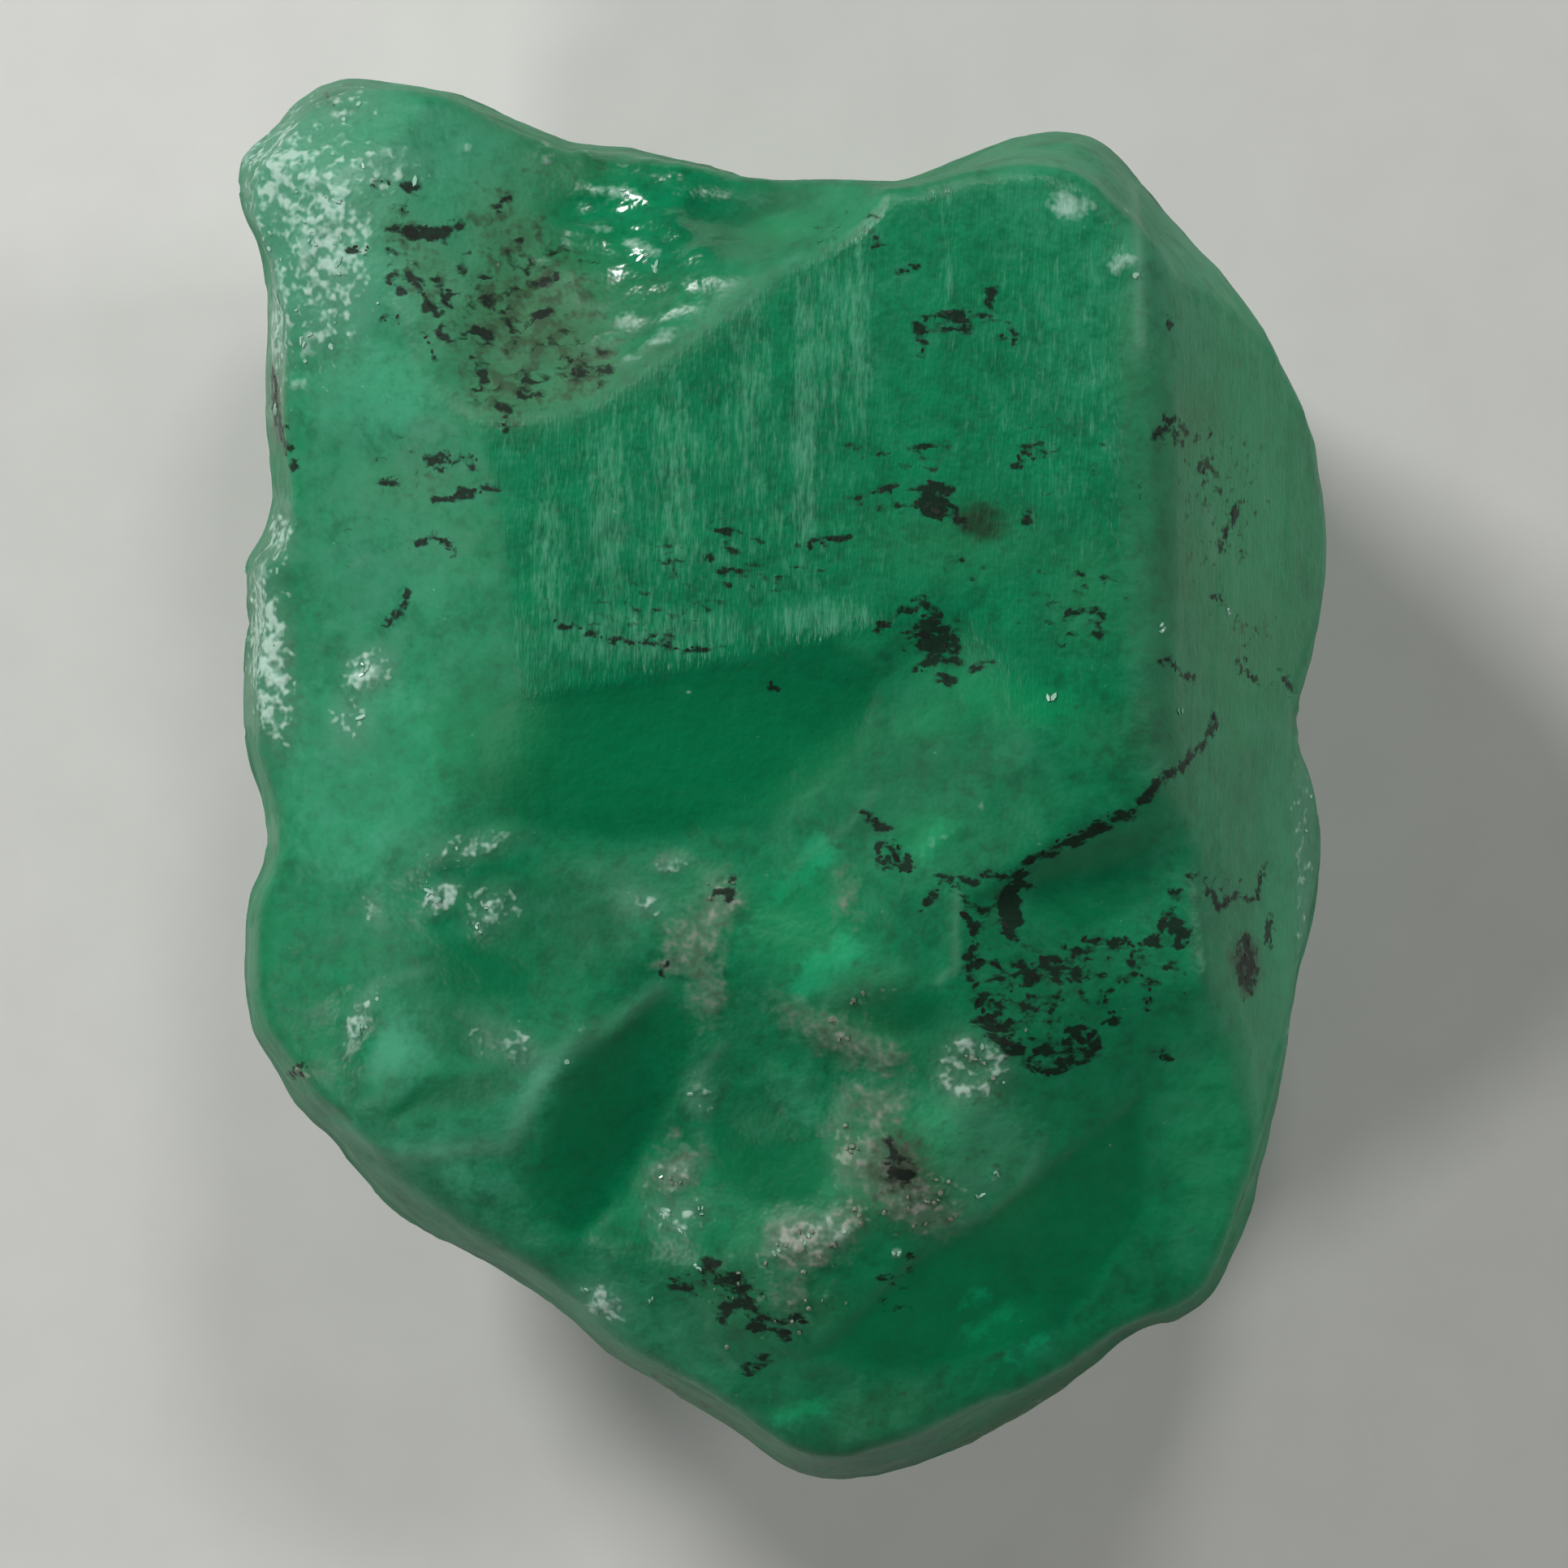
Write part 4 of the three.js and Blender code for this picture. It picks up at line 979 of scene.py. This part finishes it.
def emerald_beryl():
    """Emerald: beryl coloured by chromium, full of healed cracks. Deep green where it is clear and
    milky where it is bruised, glassy on fresh breaks and finely lined along its growth faces."""
    # Besides the stone's own colours, the colour below holds painted light: glints, ridge highlights, sheen
    # on growth lines and side faces, and shade on the lower tip
    material, tree = bare_material("emerald_beryl")
    cover = {}
    for names in LAYERS:
        layer = add(tree, "Attribute", attribute_name="_".join(names)).outputs["Vector"]
        parts = add(tree, "SeparateXYZ", {"Vector": layer}).outputs
        cover.update(zip(names, parts))
    where = add(tree, "TexCoord").outputs["Object"]
    mm = add(tree, "VectorMath", {0: where, 3: 1 / MM}, operation="SCALE").outputs["Vector"]
    # Patterns by their real sizes: clouds of colour about 0.9 mm across, mottling 0.4 mm, flecks 0.2 mm,
    # growth lines 0.07 mm apart and 0.4 mm long, and mica nets with meshes of 0.1 to 0.2 mm. The sugary
    # grain of crushed beryl is 0.02 to 0.05 mm, too fine to show, and is drawn 0.13 mm across.
    clouds, mottle, flecks, sugar = (
        add(
            tree, "TexNoise", {"Vector": mm, "Scale": per_mm, "Detail": detail, "Roughness": rough}
        ).outputs["Fac"]
        for per_mm, detail, rough in ((1.1, 2, 0.65), (2.3, 3, 0.8), (4.5, 2, 0.7), (7.5, 1, 0.65))
    )
    bent = add(
        tree, "VectorMath", {0: flecks, 1: (0.25, -0.2, 0.25), 2: mm}, operation="MULTIPLY_ADD"
    ).outputs["Vector"]
    drawn = add(tree, "Mapping", {"Vector": mm, "Scale": (14, 2.4, 14)}).outputs["Vector"]
    hairs = add(tree, "TexNoise", {"Vector": drawn, "Scale": 1, "Detail": 2, "Roughness": 0.8}).outputs["Fac"]
    laid = add(tree, "Mapping", {"Vector": bent, "Scale": (4.5, 8, 7)}).outputs["Vector"]
    blots = add(tree, "TexNoise", {"Vector": laid, "Scale": 1, "Detail": 2, "Roughness": 0.5}).outputs["Fac"]

    # Each finish breaks up at its borders: noise is added before it is cut off between two levels.
    ragged = {}
    for name, pattern, swing, low, high in (
        ("deep", mottle, 1.0, 0.9, 1.15),
        ("lit", mottle, 1.0, 0.95, 1.25),
        ("pale", mottle, 1.2, 0.95, 1.45),
        ("rock", flecks, 1.3, 1.0, 1.4),
        ("frost", sugar, 2.2, 1.72, 2.15),
        ("veil", flecks, 2.0, 1.6, 2.3),
        ("crust", sugar, 2.2, 1.75, 2.2),
        ("stain", flecks, 3.0, 2.2, 2.7),
        ("halo", blots, 1.6, 1.32, 1.56),
        ("lines", hairs, 2.4, 1.7, 2.5),
        ("milk", mottle, 1.5, 1.0, 1.7),
        ("shade", clouds, 1.0, 0.65, 1.4),
        ("smudge", flecks, 1.8, 1.3, 2.1),
    ):
        stirred = add(tree, "Math", {0: pattern, 1: swing, 2: cover[name]}, operation="MULTIPLY_ADD")
        ragged[name] = add(
            tree, "MapRange", {"Value": stirred.outputs[0], "From Min": low, "From Max": high}
        ).outputs[0]

    # Spots where a noise is low, or high
    motes, dusk, mist, bright, dark = (
        add(tree, "MapRange", {"Value": pattern, "From Min": start, "From Max": full}).outputs[0]
        for pattern, start, full in (
            (flecks, 0.5, 0.3),
            (mottle, 0.48, 0.3),
            (mottle, 0.52, 0.7),
            (sugar, 0.5, 0.7),
            (sugar, 0.45, 0.3),
        )
    )
    rock_bright = add(tree, "Math", {0: ragged["rock"], 1: bright}, operation="MULTIPLY").outputs[0]
    rock_dark = add(tree, "Math", {0: ragged["rock"], 1: dark}, operation="MULTIPLY").outputs[0]
    colour = add(
        tree, "MixRGB", {"Fac": clouds, "Color1": paint("#00744a"), "Color2": paint("#009f66")}
    ).outputs["Color"]
    for amount, share, tint in (
        (motes, 0.35, "#004f30"),
        (dusk, 0.25, "#00512f"),
        (ragged["shade"], 0.55, "#005a35"),
        # milky cloud, and painted sheen on faces turned to the lamps
        (cover["milk"], 0.45, "#2c9a70"),
        (ragged["milk"], 0.35, "#57a384"),
        (dusk, 0.4, "#0b6643"),
        (mist, 0.24, "#38a47c"),
        (ragged["deep"], 0.55, "#007547"),
        (ragged["lit"], 0.85, "#06b57a"),
        (ragged["pale"], 0.2, "#4c9c7d"),
        (cover["frost"], 0.42, "#7d9f8e"),
        (cover["glow"], 0.8, "#02b86f"),
        (cover["stain"], 0.6, "#496a48"),
        (ragged["stain"], 0.6, "#2b2f1b"),
        # growth lines, painted pale, partly as the sheen they catch
        (ragged["lines"], 0.5, "#68b191"),
        # painted highlight along ridges, and pale cracks
        (cover["edge"], 0.55, "#6aa98a"),
        (ragged["frost"], 0.6, "#bccfc5"),
        (cover["crust"], 0.4, "#5c7258"),
        (ragged["rock"], 0.6, "#5a6a5b"),
        (rock_dark, 0.45, "#3f4836"),
        (rock_bright, 0.5, "#92938a"),
        (ragged["crust"], 0.4, "#a0a195"),
        # painted glints on the ripples and the horn, over a frosty veil
        (ragged["veil"], 0.7, "#b2d3c4"),
        # dark smudges, and painted shade on the lower tip
        (ragged["smudge"], 0.75, "#252a1b"),
        (ragged["halo"], 0.94, "#06120a"),
    ):
        part = add(tree, "Math", {0: amount, 1: share}, operation="MULTIPLY", use_clamp=True).outputs[0]
        colour = add(tree, "MixRGB", {"Fac": part, "Color1": colour, "Color2": paint(tint)}).outputs["Color"]

    crushed = ragged["frost"]
    for amount, share in ((ragged["crust"], 0.35), (ragged["rock"], 0.25), (ragged["veil"], 0.4)):
        crushed = add(
            tree, "Math", {0: amount, 1: share, 2: crushed}, operation="MULTIPLY_ADD", use_clamp=True
        ).outputs[0]
    veiled = crushed
    for amount, share in (
        (ragged["crust"], 0.6),
        (ragged["rock"], 0.6),
        (ragged["pale"], 0.4),
        (cover["milk"], 0.4),
        (cover["stain"], 0.5),
        (ragged["halo"], 0.9),
        (ragged["lines"], 0.4),
    ):
        veiled = add(
            tree, "Math", {0: amount, 1: share, 2: veiled}, operation="MULTIPLY_ADD", use_clamp=True
        ).outputs[0]
    clear = add(tree, "Math", {0: veiled, 1: -0.38, 2: 0.38}, operation="MULTIPLY_ADD").outputs[0]

    rough = add(tree, "Math", {0: veiled, 1: 0.12, 2: 0.44}, operation="MULTIPLY_ADD").outputs[0]
    for amount, share in (
        (cover["dull"], 0.25), (cover["growth"], -0.1), (ragged["deep"], -0.12), (cover["wet"], -0.32)
    ):
        rough = add(
            tree, "Math", {0: amount, 1: share, 2: rough}, operation="MULTIPLY_ADD", use_clamp=True
        ).outputs[0]

    lined = add(
        tree, "Math", {0: cover["growth"], 1: 0.35, 2: cover["lines"]}, operation="MULTIPLY_ADD"
    ).outputs[0]
    grooves = add(tree, "Math", {0: hairs, 1: lined}, operation="MULTIPLY").outputs[0]
    grit = add(tree, "Math", {0: flecks, 1: 0.45, 2: grooves}, operation="MULTIPLY_ADD").outputs[0]
    facets = add(tree, "Math", {0: sugar, 1: cover["frost"], 2: grit}, operation="MULTIPLY_ADD").outputs[0]
    bump = add(tree, "Bump", {"Height": facets, "Strength": 0.6, "Distance": 0.06 * MM}).outputs["Normal"]

    shader = add(
        tree,
        "BsdfPrincipled",
        {
            "Base Color": colour,
            "Roughness": rough,
            "Transmission Weight": clear,
            "Normal": bump,
            "IOR": BERYL_IOR,
            "Specular IOR Level": 0.2,
        },
    )
    depth = add(tree, "VolumeAbsorption", {"Color": paint("#12d98a"), "Density": 260.0})
    add(tree, "OutputMaterial", {"Surface": shader.outputs[0], "Volume": depth.outputs[0]})
    return material


def blotched(name, per_mm, detail, tints, roughness, sockets):
    """A material whose tint and roughness drift together, in so many soft blotches to the millimetre."""
    material, tree = bare_material(name)
    where = add(tree, "TexCoord").outputs["Object"]
    tone = add(tree, "TexNoise", {"Vector": where, "Scale": per_mm / MM, "Detail": detail}).outputs["Fac"]
    first, last = map(paint, tints)
    tint = add(tree, "MixRGB", {"Fac": tone, "Color1": first, "Color2": last}).outputs["Color"]
    least, most = roughness
    rough = add(tree, "MapRange", {"Value": tone, "To Min": least, "To Max": most}).outputs[0]
    shader = add(tree, "BsdfPrincipled", {"Base Color": tint, "Roughness": rough, **sockets})
    add(tree, "OutputMaterial", {"Surface": shader.outputs[0]})
    return material


def black_mica():
    """Biotite mica: thin, nearly black plates with a dull shine, unevenly worn every 0.4 mm."""
    sockets = {"IOR": 1.6, "Specular IOR Level": 0.25}
    return blotched("black_mica", 2.5, 2, ("#030a05", "#121d12"), (0.45, 0.7), sockets)


def glint_pale_crushed_beryl():
    """Splinters of the same beryl, glassy and pale green, whiter every 0.5 mm or so where crushed; their
    paleness is partly painted glint.
    """
    return blotched("glint_pale_crushed_beryl", 1.8, 2, ("#5c987c", "#b4d3c4"), (0.1, 0.3), {"IOR": BERYL_IOR})


def feldspar_crust():
    """Grains of the host rock left on the stone: dull grey-beige feldspar, mottled every 0.5 mm or so."""
    return blotched("feldspar_crust", 2.2, 3, ("#4d5a49", "#85897b"), (0.5, 0.8), {"IOR": 1.53})


def pale_paper():
    """Matt pale paper under the stone, faintly clouded about every millimetre."""
    material, tree = bare_material("pale_paper")
    where = add(tree, "TexCoord").outputs["Object"]
    fibre = add(tree, "TexNoise", {"Vector": where, "Scale": 0.9 / MM, "Detail": 4}).outputs["Fac"]
    tone = add(tree, "MixRGB", {"Fac": fibre, "Color1": paint("#c9c8c4"), "Color2": paint("#d2d1cd")})
    shader = add(tree, "BsdfPrincipled", {"Base Color": tone.outputs["Color"], "Roughness": 0.85})
    add(tree, "OutputMaterial", {"Surface": shader.outputs[0]})
    return material


# ---------------------------------------------------------------- stage


def lay_floor():
    """A plain sheet far wider than the stone, a hair below the face it lies on."""
    side = 0.6
    down = -0.01 * MM
    corners = [(-side, -side, down), (side, -side, down), (side, side, down), (-side, side, down)]
    mesh = bpy.data.meshes.new("floor_sheet")
    mesh.from_pydata(corners, [], [(0, 1, 2, 3)])
    mesh.materials.append(pale_paper())
    put_in_scene("floor_sheet", mesh)


LAMP_DISTANCE = 0.22  # metres


def round_lamp(name, around, height_angle, width, power):
    """A soft lamp aimed at the stone. Around is from +X towards +Y, in degrees."""
    lamp = bpy.data.lights.new(name, "AREA")
    lamp.shape = "DISK"
    lamp.size = width
    lamp.energy = power
    holder = put_in_scene(name, lamp)
    a, e = math.radians(around), math.radians(height_angle)
    direction = Vector((math.cos(a) * math.cos(e), math.sin(a) * math.cos(e), math.sin(e)))
    holder.location = direction * LAMP_DISTANCE
    holder.rotation_euler = direction.to_track_quat("Z", "Y").to_euler()


def light_stage():
    """A room that is dark overhead and paler towards the horizon, with small soft lamps round it."""
    world = bpy.data.worlds.new("dim_room")
    world.use_nodes = True
    tree = world.node_tree
    tree.nodes.clear()
    direction = add(tree, "TexCoord").outputs["Generated"]
    up = add(tree, "SeparateXYZ", {"Vector": direction}).outputs["Z"]
    glow = add(
        tree, "MapRange", {"Value": up, "From Min": 0.05, "From Max": 0.6, "To Min": 0.24, "To Max": 0.03}
    ).outputs[0]
    sky = add(tree, "Background", {"Color": paint("#f2f6f8"), "Strength": glow})
    add(tree, "OutputWorld", {"Surface": sky.outputs[0]})
    bpy.context.scene.world = world
    round_lamp("upper_left_lamp", 132, 37, 0.055, 0.36)
    round_lamp("right_lamp", 12, 28, 0.055, 0.12)
    round_lamp("lower_left_lamp", 214, 40, 0.055, 0.14)
    round_lamp("back_lamp", 78, 55, 0.045, 0.1)


def set_camera():
    """Looks straight down on the stone, from far enough away to keep its sides upright."""
    lens = bpy.data.cameras.new("macro_camera")
    lens.lens = 250
    lens.sensor_width = 36
    lens.clip_start = 0.005
    seen = 19.32 * MM
    widest = 4.6 * MM
    camera = put_in_scene("macro_camera", lens)
    camera.location = (0, 0, widest + seen * lens.lens / lens.sensor_width)
    bpy.context.scene.camera = camera


# ---------------------------------------------------------------- build

lay_floor()
light_stage()
set_camera()
bpy.context.scene.view_settings.view_transform = "Standard"

stone = carve_stone()
stone.data.materials.clear()
stone.data.materials.append(emerald_beryl())
mica_flakes(stone.data)
glint_and_bruise_chips(stone.data)
crust_grains(stone.data)
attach(stone, "root")
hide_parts("emerald")
